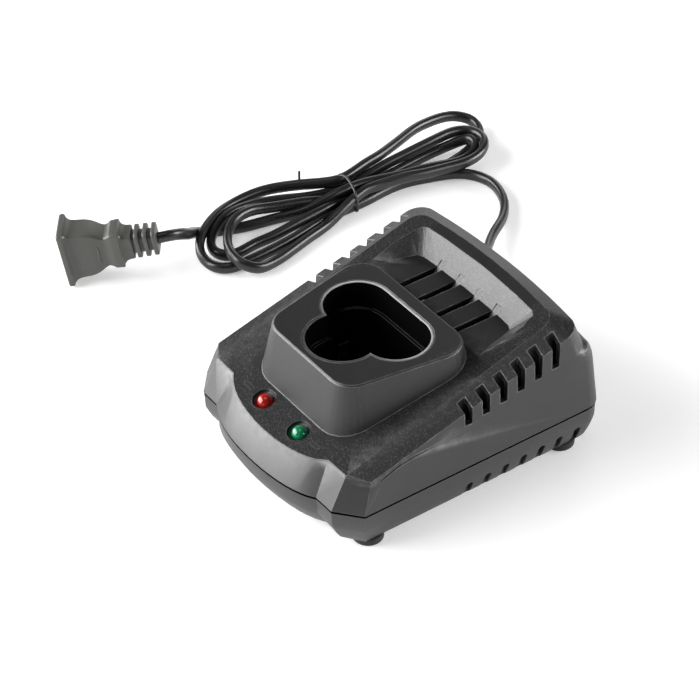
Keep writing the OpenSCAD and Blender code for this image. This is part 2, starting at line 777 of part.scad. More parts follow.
module transformer_core() {
    color([0.25, 0.25, 0.27])
    translate([core_x, core_y, board_top])
        difference() {
            translate([-core_w / 2, -core_d / 2, 0])
                cube([core_w, core_d, core_h]);
            for (side = [-1, 1])
                translate([side * (core_w / 2 - core_limb - core_window[0] / 2), 0, core_h / 2])
                    cube([core_window[0], core_d + 2, core_window[1]], center = true);
        }
}
module transformer_winding() {
    gap = clearance;
    limb_w = core_w - 2 * core_limb - 2 * core_window[0];
    color([0.8, 0.7, 0.2])
    translate([core_x, core_y, board_top + core_h / 2])
        difference() {
            cube([core_w - 2 * core_limb - 2 * gap, winding_d, core_window[1] - 2 * gap], center = true);
            cube([limb_w + 2 * gap, core_d + 2 * gap, core_window[1] + 2], center = true);
        }
}
// Upright can with a grooved sleeve and a bare top
module can_capacitor(d, h) {
    difference() {
        cylinder(d = d, h = h, $fn = 40);
        translate([0, 0, h - 0.5])
            cylinder(d = d - 2, h = 1, $fn = 40);
        translate([0, 0, 2.4])
            rotate_extrude($fn = 40)
                translate([d / 2 + 0.3, 0])
                    circle(r = 0.9, $fn = 16);
    }
}
module input_capacitor() {
    color([0.15, 0.2, 0.45])
    translate([6, tower_end_y + 11.5, board_top])
        can_capacitor(16, 25);
}
module output_capacitors() {
    color([0.15, 0.15, 0.2])
    for (x = [board_half - 11.5, board_half - 2.5])
        translate([x, tower_end_y + 2.6, board_top])
            can_capacitor(7.6, 15);
}
module safety_capacitor() {
    color([0.9, 0.75, 0.1])
    translate([-9, board_rear_y - 8, board_top])
        cube([13, 6.5, 11]);
}
module emi_choke() {
    color([0.75, 0.4, 0.15])
    translate([-17.2, board_rear_y - 5, board_top + 3.6])
        rotate_extrude($fn = 40)
            translate([4, 0])
                circle(r = 1.6, $fn = 20);
    color([0.75, 0.4, 0.15])
    translate([-17.2, board_rear_y - 5, board_top])
        difference() {
            cylinder(r = 4.6, h = 2.4, $fn = 32);
            translate([0, 0, -1])
                cylinder(r = 3.2, h = 5, $fn = 32);
        }
}
module bridge_rectifier() {
    color([0.1, 0.1, 0.1])
    translate([9, board_rear_y - 6, board_top])
        cube([15, 3.6, 11]);
}
heat_y = tower_end_y + 14;
heat_x = 17;
module heat_sink() {
    color([0.75, 0.76, 0.78])
    translate([heat_x, heat_y, board_top]) {
        cube([15, 1.8, 24]);
        for (i = [0 : 5])
            translate([i * 2.76, 1.7, 0])
                cube([1.2, 6, 24]);
    }
}
module switching_transistor() {
    color([0.08, 0.08, 0.08])
    translate([heat_x + 2.5, heat_y - 4.5, board_top + 3]) {
        cube([10, 4.5, 9]);
        translate([0, 3.2, 0])
            cube([10, 1.3, 15]);
        for (i = [0 : 2])
            translate([1.9 + i * 2.54, 1.5, -3])
                cube([0.9, 0.6, 4]);
    }
}
module fuse() {
    color([0.8, 0.85, 0.85])
    translate([-28.5, board_rear_y - 2.4, board_top + 2.6])
        rotate([90, 0, 0]) {
            cylinder(d = 4.4, h = 9, $fn = 24);
            cylinder(d = 5.2, h = 2.2, $fn = 24);
            translate([0, 0, 6.8])
                cylinder(d = 5.2, h = 2.2, $fn = 24);
        }
}
module optocoupler() {
    color([0.9, 0.9, 0.88])
    translate([-3.5, well_back_y + well_wall + 1.2, board_top])
        cube([7, 4.6, 3.4]);
}

// ---- Fasteners and feet ----
module housing_screws() {
    color([0.6, 0.6, 0.62])
    at_posts()
        translate([0, 0, screw_seat_z]) {
            cylinder(d = screw_d, h = screw_len, $fn = 24);
            translate([0, 0, -screw_head_h])
                difference() {
                    cylinder(d = screw_head_d, h = screw_head_h, $fn = 32);
                    for (turn = [0, 90])
                        rotate([0, 0, turn])
                            translate([-1.6, -0.35, -1])
                                cube([3.2, 0.7, 2.2]);
                }
        }
}
module foot(x, y) {
    color([0.06, 0.06, 0.06])
    translate([x, y, 0])
        rotate_extrude($fn = 40)
            polygon([[0, 0], [foot_d / 2 - 0.6, 0], [foot_d / 2, 0.6], [foot_d / 2, foot_h],
                [foot_peg_d / 2, foot_h], [foot_peg_d / 2, foot_h + foot_peg_h], [0, foot_h + foot_peg_h]]);
}
module foot_front_left() { foot(-foot_x, foot_front_y); }
module foot_front_right() { foot(foot_x, foot_front_y); }
module foot_rear_left() { foot(-foot_x, foot_rear_y); }
module foot_rear_right() { foot(foot_x, foot_rear_y); }

// ---- Strain relief, clamp and inner wires ----
relief_route = [[exit_x, exit_seat_y + 1, exit_z], [-28.1, 60, 12], [-28.8, 63.5, 11.9], [-30.4, 67, 11.7],
    [-33, 70.3, 11.3], [-36.3, 73, 10.8], [-39.5, 75.2, 10.2]];
module strain_relief() {
    hole_r = cord_d / 2 + 0.1;
    neck_r = relief_neck_d / 2;
    groove_end = relief_flange + exit_wall;
    color([0.08, 0.08, 0.085])
    union() {
        translate([exit_x, exit_seat_y + relief_flange, exit_z])
            rotate([90, 0, 0])
                rotate_extrude($fn = 32)
                    polygon([[hole_r, 0], [neck_r + relief_flange, 0], [neck_r + relief_flange, relief_flange],
                        [neck_r, relief_flange], [neck_r, groove_end], [neck_r + 1, groove_end],
                        [neck_r + 1, groove_end + relief_flange], [hole_r, groove_end + relief_flange]]);
        tube(relief_route, [for (i = [0 : 6]) mix(neck_r - 0.1, cord_d / 2 + 0.8, i / 6)], 12);
    }
}
module cord_clamp() {
    color([0.7, 0.7, 0.72])
    translate([exit_x, clamp_y, exit_z])
        difference() {
            translate([-saddle_w / 2 + 0.5, -saddle_d / 2 + 0.5, 0])
                cube([saddle_w - 1, saddle_d - 1, cord_d / 2 + 1.6]);
            translate([0, 4, 0])
                rotate([90, 0, 0])
                    cylinder(d = cord_d + clearance, h = 8, $fn = 24);
            for (side = [-1, 1])
                translate([side * clamp_screw_x, 0, -1])
                    cylinder(d = 2 + 2 * clearance, h = 12, $fn = 16);
        }
}
module clamp_screws() {
    color([0.6, 0.6, 0.62])
    for (side = [-1, 1])
        translate([exit_x + side * clamp_screw_x, clamp_y, exit_z]) {
            translate([0, 0, -4])
                cylinder(d = 2, h = 4 + cord_d / 2 + 1.6, $fn = 16);
            translate([0, 0, cord_d / 2 + 1.6])
                cylinder(d = 3.8, h = 1.4, $fn = 24);
        }
}
module mains_wires() {
    color([0.1, 0.1, 0.1])
    translate([exit_x, relief_end_y, exit_z])
        rotate([90, 0, 0])
            cylinder(d = cord_d, h = 8.2, $fn = 24);
}

// ---- Cord outside ----
lead_route = [[-39.5, 75.2, 10.2], [-47, 80.5, 8.6], [-54.5, 86, 6.2], [-60.3, 90.7, 4.9], [-65, 95.5, 4],
    [-71, 103.9, 2.6], [-77, 109.3, 2.1], [-83.3, 112.9, 2.1], [-90.3, 114.8, 2.1], [-96.3, 114, 2.1],
    [-100.6, 112.1, 2.1]];
tail_route = [[-119, -17.2, 17.7], [-117.3, -14.8, 18.1], [-116.2, -12.2, 17.9], [-116.1, -9, 16.4],
    [-117.3, -6.2, 13.9], [-119.4, -3.9, 10.9], [-121, -2, 8], [-121.6, -0.7, 5.6]];
module cord_lead() {
    color([0.05, 0.05, 0.05])
    tube(lead_route, cord_d / 2, 8);
}
module cord_tail() {
    color([0.05, 0.05, 0.05])
    tube(tail_route, cord_d / 2, 8);
}
hank_near = [-116, 20.5];
hank_near_r = 20.2;
hank_far = [-118.5, 118];
hank_far_r = 17.4;
waist = [-115, 69];
waist_w = 12;
tie_w = 6;
tie_t = 1.2;
// Where the sides of the hank leave its two round ends
near_side = [hank_near_r - 0.8, 6];
far_side = [hank_far_r - 0.6, -4.6];
module hank_outline() {
    translate(hank_near)
        circle(r = hank_near_r, $fn = 64);
    translate(hank_far)
        circle(r = hank_far_r, $fn = 64);
    polygon([hank_near + [-near_side[0], near_side[1]], hank_near + near_side,
        waist + [waist_w / 2, -tie_w], waist + [waist_w / 2, tie_w],
        hank_far + far_side, hank_far + [-far_side[0], far_side[1]],
        waist + [-waist_w / 2, tie_w], waist + [-waist_w / 2, -tie_w]]);
}
module cord_hank() {
    color([0.05, 0.05, 0.05])
    difference() {
        linear_extrude(hank_h)
            hank_outline();
        translate([waist[0], waist[1], hank_h / 2])
            difference() {
                cube([waist_w + 10, tie_w, hank_h + 10], center = true);
                cube([waist_w - 2 * tie_t, tie_w + 2, hank_h - 2 * tie_t], center = true);
            }
    }
}
module cord_tie() {
    color([0.1, 0.1, 0.1])
    translate([waist[0], waist[1], hank_h / 2])
        difference() {
            cube([waist_w, tie_w - 2 * clearance, hank_h], center = true);
            cube([waist_w - 2 * tie_t + 2 * clearance, tie_w + 2, hank_h - 2 * tie_t + 2 * clearance],
                center = true);
        }
}

// ---- Plug ----
plug_at = [-139.3, -44.4, 11.75];
plug_turn = 53.3;
plug_pitch = 10;
// Stations along the plug: distance from the nose, height, width, corner radius
plug_stations = [
    [0, 22, 14, 4], [0.5, 23, 15, 4.5], [2, 23, 15, 4.5], [2.6, 21, 12.6, 3.2], [3.6, 19.4, 10.9, 2.2],
    [5, 18.7, 10.2, 1.8], [8.5, 18.3, 10, 1.8], [11.5, 17, 9.8, 1.8], [14.2, 14, 9.2, 1.8],
    [16.7, 11.5, 8.8, 1.8], [18.2, 13.6, 10, 1.8], [21.2, 14, 10.3, 1.8], [21.6, 11.6, 8.6, 2.4],
    [23, 9.9, 7.7, 2.6], [25.4, 9.5, 7.4, 2.8], [25.6, 6.6, 5.4, 2.4]];
rib_first = 26.6;
rib_pitch = 2.95;
rib_t = 1.8;
rib_count = 3;
function plug_ring(s) = [for (corner = [0 : 3]) for (j = [0 : 3])
    let (a = corner * 90 + j * 30, sx = corner == 0 || corner == 3 ? 1 : -1, sy = corner < 2 ? 1 : -1)
    [sx * (s[1] / 2 - s[3]) + s[3] * cos(a), sy * (s[2] / 2 - s[3]) + s[3] * sin(a), s[0]]];
function rib_rings(at, h, w) = [[at, 6.6, 5.4, 2.4], [at + 0.1, h - 0.6, w - 0.6, 2.6],
    [at + 0.5, h, w, 2.9], [at + rib_t - 0.4, h, w, 2.9], [at + rib_t, h - 0.8, w - 0.8, 2.6],
    [at + rib_t + 0.1, 6.6, 5.4, 2.4]];
module plug_body() {
    color([0.22, 0.22, 0.2])
    translate(plug_at)
        rotate([0, 90 - plug_pitch, plug_turn])
            loft([for (s = concat(plug_stations,
                [for (i = [0 : rib_count - 1]) each rib_rings(rib_first + i * rib_pitch, 9.2 - 0.3 * i, 8 - 0.3 * i)],
                [])) plug_ring(s)]);
}

top_cover();
bottom_cover();
battery_well();
terminal_block();
contact_positive();
contact_negative();
contact_thermistor();
led_red();
led_green();
led_board();
led_wires();
circuit_board();
transformer_core();
transformer_winding();
input_capacitor();
output_capacitors();
safety_capacitor();
emi_choke();
bridge_rectifier();
switching_transistor();
heat_sink();
fuse();
optocoupler();
housing_screws();
foot_front_left();
foot_front_right();
foot_rear_left();
foot_rear_right();
strain_relief();
cord_clamp();
clamp_screws();
mains_wires();
cord_lead();
cord_hank();
cord_tail();
cord_tie();
plug_body();
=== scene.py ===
"""Looks of a power tool battery charger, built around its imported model."""
import logging
import math
from dataclasses import dataclass
from enum import Enum
from typing import Any, Callable, Iterable, Optional, Sequence

import bmesh
import bpy
from mathutils import Matrix, Vector


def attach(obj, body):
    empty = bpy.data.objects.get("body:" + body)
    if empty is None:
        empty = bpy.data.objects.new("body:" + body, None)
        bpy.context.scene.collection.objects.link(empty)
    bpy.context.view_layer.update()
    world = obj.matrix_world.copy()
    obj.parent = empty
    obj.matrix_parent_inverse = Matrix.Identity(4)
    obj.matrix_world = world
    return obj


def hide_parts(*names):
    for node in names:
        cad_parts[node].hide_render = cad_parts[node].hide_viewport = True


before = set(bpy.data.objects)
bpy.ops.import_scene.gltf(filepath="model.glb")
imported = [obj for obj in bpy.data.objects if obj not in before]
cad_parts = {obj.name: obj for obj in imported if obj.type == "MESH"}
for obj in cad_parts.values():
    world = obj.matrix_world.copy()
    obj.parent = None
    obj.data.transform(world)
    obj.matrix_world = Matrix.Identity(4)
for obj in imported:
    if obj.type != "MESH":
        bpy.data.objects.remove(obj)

LOG = logging.getLogger("charger")
MM = 0.001
NOISE_LOW, NOISE_HIGH = 0.3, 0.7
BEVEL_SAMPLES = 6
SAME_PLACE = 0.000001
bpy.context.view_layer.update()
Colour = tuple[float, float, float]
Point = tuple[float, float, float]
Socket = bpy.types.NodeSocket
Sockets = bpy.types.NodeOutputs


# ---- Node trees ----
class NodeGraph:
    """A node tree that is built one node at a time."""

    def __init__(self, tree: bpy.types.NodeTree) -> None:
        """Start on an empty tree.

        Args:
            tree: The tree that the nodes go into.
        """
        self.tree = tree
        self.tree.nodes.clear()

    def add(self, kind: str, inputs: Optional[dict[Any, Any]] = None, **settings: Any) -> bpy.types.Node:
        """Add one node.

        Args:
            kind: The node's type name.
            inputs: Its inputs by name or number, each a socket to link or a plain value.
            **settings: The node's own properties.

        Returns:
            The new node.
        """
        node = self.tree.nodes.new(kind)
        for name, value in settings.items():
            setattr(node, name, value)
        for key, value in (inputs or {}).items():
            if isinstance(value, Socket):
                self.tree.links.new(value, node.inputs[key])
            else:
                node.inputs[key].default_value = value
        return node

    def maths(self, operation: str, first: Any, second: Any = 0.0, clamp: bool = False) -> Socket:
        """Combine two numbers.

        Args:
            operation: Name of the operation, such as MULTIPLY.
            first: First number or socket.
            second: Second number or socket.
            clamp: Whether the result is kept between 0 and 1.

        Returns:
            The result's socket.
        """
        return self.add("ShaderNodeMath", {0: first, 1: second}, operation=operation,
                        use_clamp=clamp).outputs[0]

    def span(self, value: Socket, low: float, high: float, to_low: float, to_high: float) -> Socket:
        """Map a number from one range into another.

        Args:
            value: The number.
            low: Where the first range starts.
            high: Where the first range ends.
            to_low: Where the second range starts.
            to_high: Where the second range ends.

        Returns:
            The mapped number, kept inside the second range.
        """
        return self.add("ShaderNodeMapRange", {"Value": value, "From Min": low, "From Max": high,
                                               "To Min": to_low, "To Max": to_high}).outputs[0]

    def split(self, vector: Socket) -> Sockets:
        """Split a vector into its X, Y and Z sockets."""
        return self.add("ShaderNodeSeparateXYZ", {0: vector}).outputs


class ShaderGraph(NodeGraph):
    """The node tree of one material."""

    def __init__(self, name: str) -> None:
        """Start a material with its object coordinates and its true normal.

        Args:
            name: The material's name.
        """
        self.material = bpy.data.materials.new(name)
        self.material.use_nodes = True
        super().__init__(self.material.node_tree)
        self.coordinates = self.add("ShaderNodeTexCoord").outputs["Object"]
        self.made: dict[str, Socket] = {}
        self.normal = self.add("ShaderNodeNewGeometry").outputs["True Normal"]

    def once(self, name: str, make: Callable[[], Socket]) -> Socket:
        """Return a pattern that several parts of the tree share, made on first use.

        Args:
            name: The pattern's name.
            make: What makes it.

        Returns:
            The pattern's socket.
        """
        if name not in self.made:
            self.made[name] = make()
        return self.made[name]

    def moved(self, scale: Point) -> Socket:
        """Return the object coordinates, stretched by scale along each axis."""
        return self.add("ShaderNodeMapping", {"Vector": self.coordinates, "Scale": scale}).outputs[0]

    def noise(self, per_metre: float, detail: float = 2.0, rough: float = 0.5,
              vector: Optional[Socket] = None) -> Socket:
        """Add cloudy noise.

        Args:
            per_metre: How many of its cells lie along a metre.
            detail: How many finer layers it has.
            rough: How strong the finer layers are.
            vector: Coordinates to use in place of the object's own.

        Returns:
            The noise, from 0 to 1.
        """
        place = self.coordinates if vector is None else vector
        return self.add("ShaderNodeTexNoise", {"Vector": place, "Scale": per_metre, "Detail": detail,
                                               "Roughness": rough}).outputs["Fac"]

    def cells(self, per_metre: float, feature: str = "F1", vector: Optional[Socket] = None) -> Socket:
        """Add a cell pattern.

        Args:
            per_metre: How many cells lie along a metre.
            feature: Which distance the pattern gives.
            vector: Coordinates to use in place of the object's own.

        Returns:
            The distance that the pattern gives.
        """
        place = self.coordinates if vector is None else vector
        return self.add("ShaderNodeTexVoronoi", {"Vector": place, "Scale": per_metre},
                        feature=feature).outputs["Distance"]

    def spread(self, noise: Socket, to_low: float, to_high: float) -> Socket:
        """Map the middle of a noise, where most of it lies, onto a whole range."""
        return self.span(noise, NOISE_LOW, NOISE_HIGH, to_low, to_high)

    def round_normal(self, radius: float) -> Socket:
        """Return the normal as it would be with every edge rounded by radius, in metres."""
        return self.add("ShaderNodeBevel", {"Radius": radius}, samples=BEVEL_SAMPLES).outputs[0]

    def blend(self, share: Any, first: Any, second: Any) -> Socket:
        """Mix two colours.

        Args:
            share: How much of the second colour shows.
            first: First colour or socket.
            second: Second colour or socket.

        Returns:
            The mixed colour.
        """
        colours = [tuple(c) + (1.0,) if isinstance(c, tuple) and len(c) == 3 else c for c in (first, second)]
        return self.add("ShaderNodeMix", {0: share, 6: colours[0], 7: colours[1]},
                        data_type="RGBA").outputs[2]

    def edges(self, radius: float) -> Socket:
        """Find the edges of the piece.

        Args:
            radius: How far from an edge still counts, in metres.

        Returns:
            1 on an edge and 0 away from it.
        """
        turn = self.add("ShaderNodeVectorMath", {0: self.round_normal(radius), 1: self.normal},
                        operation="DOT_PRODUCT").outputs["Value"]
        flat, sharp = 0.998, 0.93
        return self.span(turn, flat, sharp, 0.0, 1.0)

    def openness(self, reach: float) -> Socket:
        """Find the hollows of the piece.

        Args:
            reach: How far a facing wall still shades, in metres.

        Returns:
            0 deep inside a hollow and 1 on open faces.
        """
        return self.add("ShaderNodeAmbientOcclusion", {"Distance": reach}, samples=8,
                        only_local=True).outputs["AO"]


# ---- Finishes ----
WEAR_AND_HIGHLIGHT_PATCHES = 350.0


def grey(level: float) -> Colour:
    """Return the grey of this level."""
    return (level, level, level)


@dataclass(frozen=True)
class Finish:
    """A surface with colour variation, edges lightened by wear and by a painted highlight, and a fine relief.

    Sizes are in metres, and patterns are counted in cells along a metre.
    """

    name: str
    base: Colour
    accent: Colour
    edge: Colour
    roughness: float = 0.5
    roughness_spread: float = 0.08
    metallic: float = 0.0
    specular: float = 0.5
    coat: float = 0.0
    coat_roughness: float = 0.1
    transmission: float = 0.0
    ior: float = 1.5
    cloud: float = 60.0
    cloud_share: float = 0.5
    grain: float = 1800.0
    grain_depth: float = 0.00005
    edge_radius: float = 0.0007
    edge_share: float = 0.35
    rounding: float = 0.0

    def relief(self, graph: ShaderGraph) -> Socket:
        """Return the height pattern of the surface, from 0 to 1."""
        return graph.noise(self.grain, 3.0, 0.6)

    def relief_share(self, graph: ShaderGraph) -> Any:
        """Return how strong the relief is at each place."""
        return 1.0

    def specular_level(self, graph: ShaderGraph) -> Any:
        """Return how much the surface mirrors at each place."""
        return self.specular

    def clouded(self, graph: ShaderGraph) -> Socket:
        """Mix the base and accent colours in soft clouds."""
        cloud = graph.spread(graph.noise(self.cloud, 4.0, 0.6), 0.0, self.cloud_share)
        return graph.blend(cloud, self.base, self.accent)

    def colour(self, graph: ShaderGraph, height: Socket) -> Socket:
        """Mix the two colours, and lighten the edges, partly as wear and partly as a painted highlight.

        Args:
            graph: The material's tree.
            height: The surface's height pattern.

        Returns:
            The colour.
        """
        # Lightened edges: part wear, in patches, and part painted highlight.
        patches = graph.spread(graph.noise(WEAR_AND_HIGHLIGHT_PATCHES, 3.0), 0.2 * self.edge_share, self.edge_share)
        worn_and_lit = graph.maths("MULTIPLY", graph.edges(self.edge_radius), patches)
        return graph.blend(worn_and_lit, self.clouded(graph), self.edge)

    def gloss(self, graph: ShaderGraph, height: Socket) -> Socket:
        """Vary the roughness with smears and with the relief.

        Args:
            graph: The material's tree.
            height: The surface's height pattern.

        Returns:
            The roughness.
        """
        smear = graph.spread(graph.noise(self.cloud * 0.7, 5.0, 0.65), self.roughness - self.roughness_spread,
                             self.roughness + self.roughness_spread)
        return graph.maths("ADD", smear, graph.spread(height, -0.03, 0.03), clamp=True)

    def build(self) -> bpy.types.Material:
        """Make the material.

        Returns:
            The material with its whole tree.
        """
        graph = ShaderGraph(self.name)
        height = self.relief(graph)
        bump = {"Height": height, "Strength": self.relief_share(graph), "Distance": self.grain_depth}
        if self.rounding:
            bump["Normal"] = graph.round_normal(self.rounding)
        shader = graph.add("ShaderNodeBsdfPrincipled", {
            "Base Color": self.colour(graph, height),
            "Roughness": self.gloss(graph, height),
            "Metallic": self.metallic,
            "IOR": self.ior,
            "Specular IOR Level": self.specular_level(graph),
            "Coat Weight": self.coat,
            "Coat Roughness": self.coat_roughness,
            "Transmission Weight": self.transmission,
            "Normal": graph.add("ShaderNodeBump", bump).outputs[0],
        })
        graph.add("ShaderNodeOutputMaterial", {"Surface": shader.outputs[0]})
        return graph.material


@dataclass(frozen=True)
class MouldedPlastic(Finish):
    """Thermoplastic with the spark texture of its mould."""

    pebble: float = 1500.0
    painted_glint_share: float = 0.4

    def relief(self, graph: ShaderGraph) -> Socket:
        """Return fine pebbles under a finer grain."""
        pebbles = graph.span(graph.cells(self.pebble), 0.0, 0.7, 0.0, 1.0)
        return graph.maths("ADD", graph.maths("MULTIPLY", pebbles, 0.5),
                           graph.maths("MULTIPLY", graph.noise(self.grain, 3.0, 0.6), 0.5))

    def colour(self, graph: ShaderGraph, height: Socket) -> Socket:
        """Add painted glints, pale spots where single pebbles would catch the light, to the cloudy colour."""
        body = Finish.colour(self, graph, height)
        rare, rarest = 0.5, 0.75
        # Painted glint: pale spots where single pebbles would catch the light.
        painted_glint = graph.span(graph.noise(self.pebble, 2.0, 0.6), rare, rarest, 0.0, self.painted_glint_share)
        return graph.blend(graph.maths("MULTIPLY", painted_glint, self.relief_share(graph)), body, self.edge)


@dataclass(frozen=True)
class ShellPlastic(MouldedPlastic):
    """Plastic of a housing shell, with texture on its deck, plainer walls, and painted shade in its gaps.

    The textured faces look up outside the tower, or lie on the slope behind it. The painted shade is
    black in the seam between the shells and in the slots and deep hollows, where shade falls. Sizes are in
    metres.
    """

    roughness_spread: float = 0.04
    cloud: float = 45.0
    cloud_share: float = 0.6
    grain: float = 2600.0
    rounding: float = 0.0005
    seam_height: float = 0.0176
    seam_half: float = 0.0005
    seam_fade: float = 0.00012
    plain_share: float = 0.15
    hollow_reach: float = 0.005
    deck_gloss: float = 0.5
    tower_half: float = 0.0262
    tower_front: float = -0.0385
    slope_start: float = 0.027
    border: float = 0.0005

    def painted_shade(self, graph: ShaderGraph) -> Socket:
        """Return the painted shade: 1 in the gap between the shells and deep inside slots, and 0 on open
        faces.
        """
        return graph.once("painted_shade", lambda: self.make_painted_shade(graph))

    def make_painted_shade(self, graph: ShaderGraph) -> Socket:
        """Make the painted shade that painted_shade returns."""
        height = graph.split(graph.coordinates)["Z"]
        away = graph.maths("ABSOLUTE", graph.maths("SUBTRACT", height, self.seam_height))
        # Painted shade: the seam between the shells, and deep hollows found by occlusion, turn black.
        seam = graph.span(away, self.seam_half, self.seam_half + self.seam_fade, 1.0, 0.0)
        half_open, nearly_closed, darkest = 0.45, 0.15, 0.9
        hollow = graph.span(graph.openness(self.hollow_reach), half_open, nearly_closed, 0.0, darkest)
        return graph.maths("MAXIMUM", seam, hollow)

    def relief_share(self, graph: ShaderGraph) -> Socket:
        """Return 1 on the textured faces and less on the plain ones."""
        return graph.once("relief share", lambda: self.make_relief_share(graph))

    def make_relief_share(self, graph: ShaderGraph) -> Socket:
        """Make the pattern that relief_share returns."""
        place = graph.split(graph.coordinates)
        normal = graph.split(graph.normal)
        steep, level = 0.55, 0.75
        looks_up = graph.span(normal["Z"], steep, level, 0.0, 1.0)
        beside = graph.span(graph.maths("ABSOLUTE", place["X"]), self.tower_half,
                            self.tower_half + self.border, 0.0, 1.0)
        before = graph.span(place["Y"], self.tower_front - self.border, self.tower_front, 1.0, 0.0)
        deck = graph.maths("MULTIPLY", looks_up, graph.maths("MAXIMUM", beside, before))
        behind = graph.span(place["Y"], self.slope_start, self.slope_start + 2 * self.border, 0.0, 1.0)
        upright, leaning = -0.35, -0.5
        slope = graph.maths("MULTIPLY", behind, graph.span(normal["Y"], upright, leaning, 0.0, 1.0))
        rough = graph.maths("MAXIMUM", deck, slope)
        return graph.span(rough, 0.0, 1.0, self.plain_share, 1.0)

    def specular_level(self, graph: ShaderGraph) -> Socket:
        """Return no gloss where shade is painted, inside the gap and the slots, and little on what looks up.
        """
        leaning, level = 0.86, 0.95
        gloss = graph.span(graph.split(graph.normal)["Z"], leaning, level, self.specular,
                           self.deck_gloss * self.specular)
        return graph.maths("MULTIPLY", graph.maths("SUBTRACT", 1.0, self.painted_shade(graph)), gloss)

    def colour(self, graph: ShaderGraph, height: Socket) -> Socket:
        """Paint shade: blacken the gap between the shells, and the slots, where shade falls."""
        return graph.blend(self.painted_shade(graph), MouldedPlastic.colour(self, graph, height), grey(0.001))


@dataclass(frozen=True)
class LinerPlastic(Finish):
    """Polished black plastic with a painted highlight on its rim, the stronger the further back it lies.

    The rim's plane starts at rim_front and rises by rim_tilt towards the rear. Sizes are in metres.
    """

    rim_tilt: float = 0.0384
    rim_front: Point = (0.0, -0.0356, 0.0503)
    rim_depth: float = 0.0004
    bright_from: float = 0.015
    bright_to: float = 0.03
    front_share: float = 0.15

    def colour(self, graph: ShaderGraph, height: Socket) -> Socket:
        """Paint a highlight on the rim, and leave the curved walls black."""
        place = graph.split(graph.coordinates)
        behind = graph.maths("SUBTRACT", place["Y"], self.rim_front[1])
        level = graph.maths("SUBTRACT", place["Z"], graph.maths("MULTIPLY", behind, self.rim_tilt))
        lowest = self.rim_front[2] - self.rim_depth
        # Painted highlight: a thin light band along the rim's top.
        rim = graph.span(level, lowest, lowest + 0.3 * self.rim_depth, 0.0, 1.0)
        share = graph.span(behind, self.bright_from, self.bright_to, self.front_share, self.edge_share)
        return graph.blend(graph.maths("MULTIPLY", rim, share), self.clouded(graph), self.edge)


@dataclass(frozen=True)
class BrushedMetal(Finish):
    """Rolled or turned metal with fine lines along one direction."""

    metallic: float = 1.0
    stretch: Point = (1.0, 1.0, 12.0)

    def relief(self, graph: ShaderGraph) -> Socket:
        """Return noise drawn out into lines."""
        return graph.noise(self.grain, 2.0, 0.5, graph.moved(self.stretch))


@dataclass(frozen=True)
class WoundWire(Finish):
    """Lacquered wire, or tape, laid turn beside turn."""

    axis: str = "Z"
    pitch: float = 0.0008

    def relief(self, graph: ShaderGraph) -> Socket:
        """Return one wave for each turn."""
        waves = math.pi / 10 / self.pitch
        return graph.add("ShaderNodeTexWave", {"Vector": graph.coordinates, "Scale": waves,
                                               "Distortion": 0.4, "Detail": 1.0},
                         wave_type="BANDS", bands_direction=self.axis).outputs["Fac"]

    def colour(self, graph: ShaderGraph, height: Socket) -> Socket:
        """Paint shade into the gaps between the turns."""
        # Painted shade in the gaps between the turns.
        return graph.blend(graph.span(height, 0.0, 0.5, 0.6, 0.0), Finish.colour(self, graph, height),
                           tuple(0.25 * c for c in self.base))


@dataclass(frozen=True)
class SolderMask(Finish):
    """Lacquered circuit board with tracks under the lacquer."""

    track: float = 260.0

    def relief(self, graph: ShaderGraph) -> Socket:
        """Return raised tracks that run square to each other."""
        brick = graph.add("ShaderNodeTexBrick", {
            "Vector": graph.coordinates, "Scale": self.track, "Mortar Size": 0.12, "Mortar Smooth": 0.3,
            "Brick Width": 2.4, "Row Height": 0.7, "Color1": (0, 0, 0, 1), "Color2": (0.2, 0.2, 0.2, 1),
            "Mortar": (1, 1, 1, 1)}).outputs["Color"]
        return graph.add("ShaderNodeRGBToBW", {0: brick}).outputs[0]

    def colour(self, graph: ShaderGraph, height: Socket) -> Socket:
        """Show the copper tracks as paler lines."""
        tracks = graph.span(height, 0.3, 0.9, 0.0, 0.6)
        return graph.blend(tracks, Finish.colour(self, graph, height), self.edge)


@dataclass(frozen=True)
class Sleeve(Finish):
    """Smooth extruded sleeve of a cord, with faint drawn lines and dull patches."""

    def relief(self, graph: ShaderGraph) -> Socket:
        """Return soft ripples and a fine skin."""
        return graph.maths("ADD", graph.maths("MULTIPLY", graph.noise(180.0, 2.0), 0.7),
                           graph.maths("MULTIPLY", graph.noise(self.grain, 2.0), 0.3))


@dataclass(frozen=True)
class TintedLens(Finish):
    """Tinted clear resin of a lamp, with a faint painted glow for the depth of its tint."""

    roughness: float = 0.07
    roughness_spread: float = 0.02
    coat: float = 0.5
    coat_roughness: float = 0.03
    transmission: float = 0.15
    ior: float = 1.45
    cloud: float = 240.0
    grain: float = 500.0
    grain_depth: float = 0.00001
    edge_share: float = 0.1
    glow: float = 0.0

    def build(self) -> bpy.types.Material:
        """Make the material, with a faint painted glow for the tint's depth."""
        material = Finish.build(self)
        shader = next(n for n in material.node_tree.nodes if n.type == "BSDF_PRINCIPLED")
        # Painted glow: the lens gives off a little light though it is not lit.
        shader.inputs["Emission Color"].default_value = self.accent + (1.0,)
        shader.inputs["Emission Strength"].default_value = self.glow
        return material


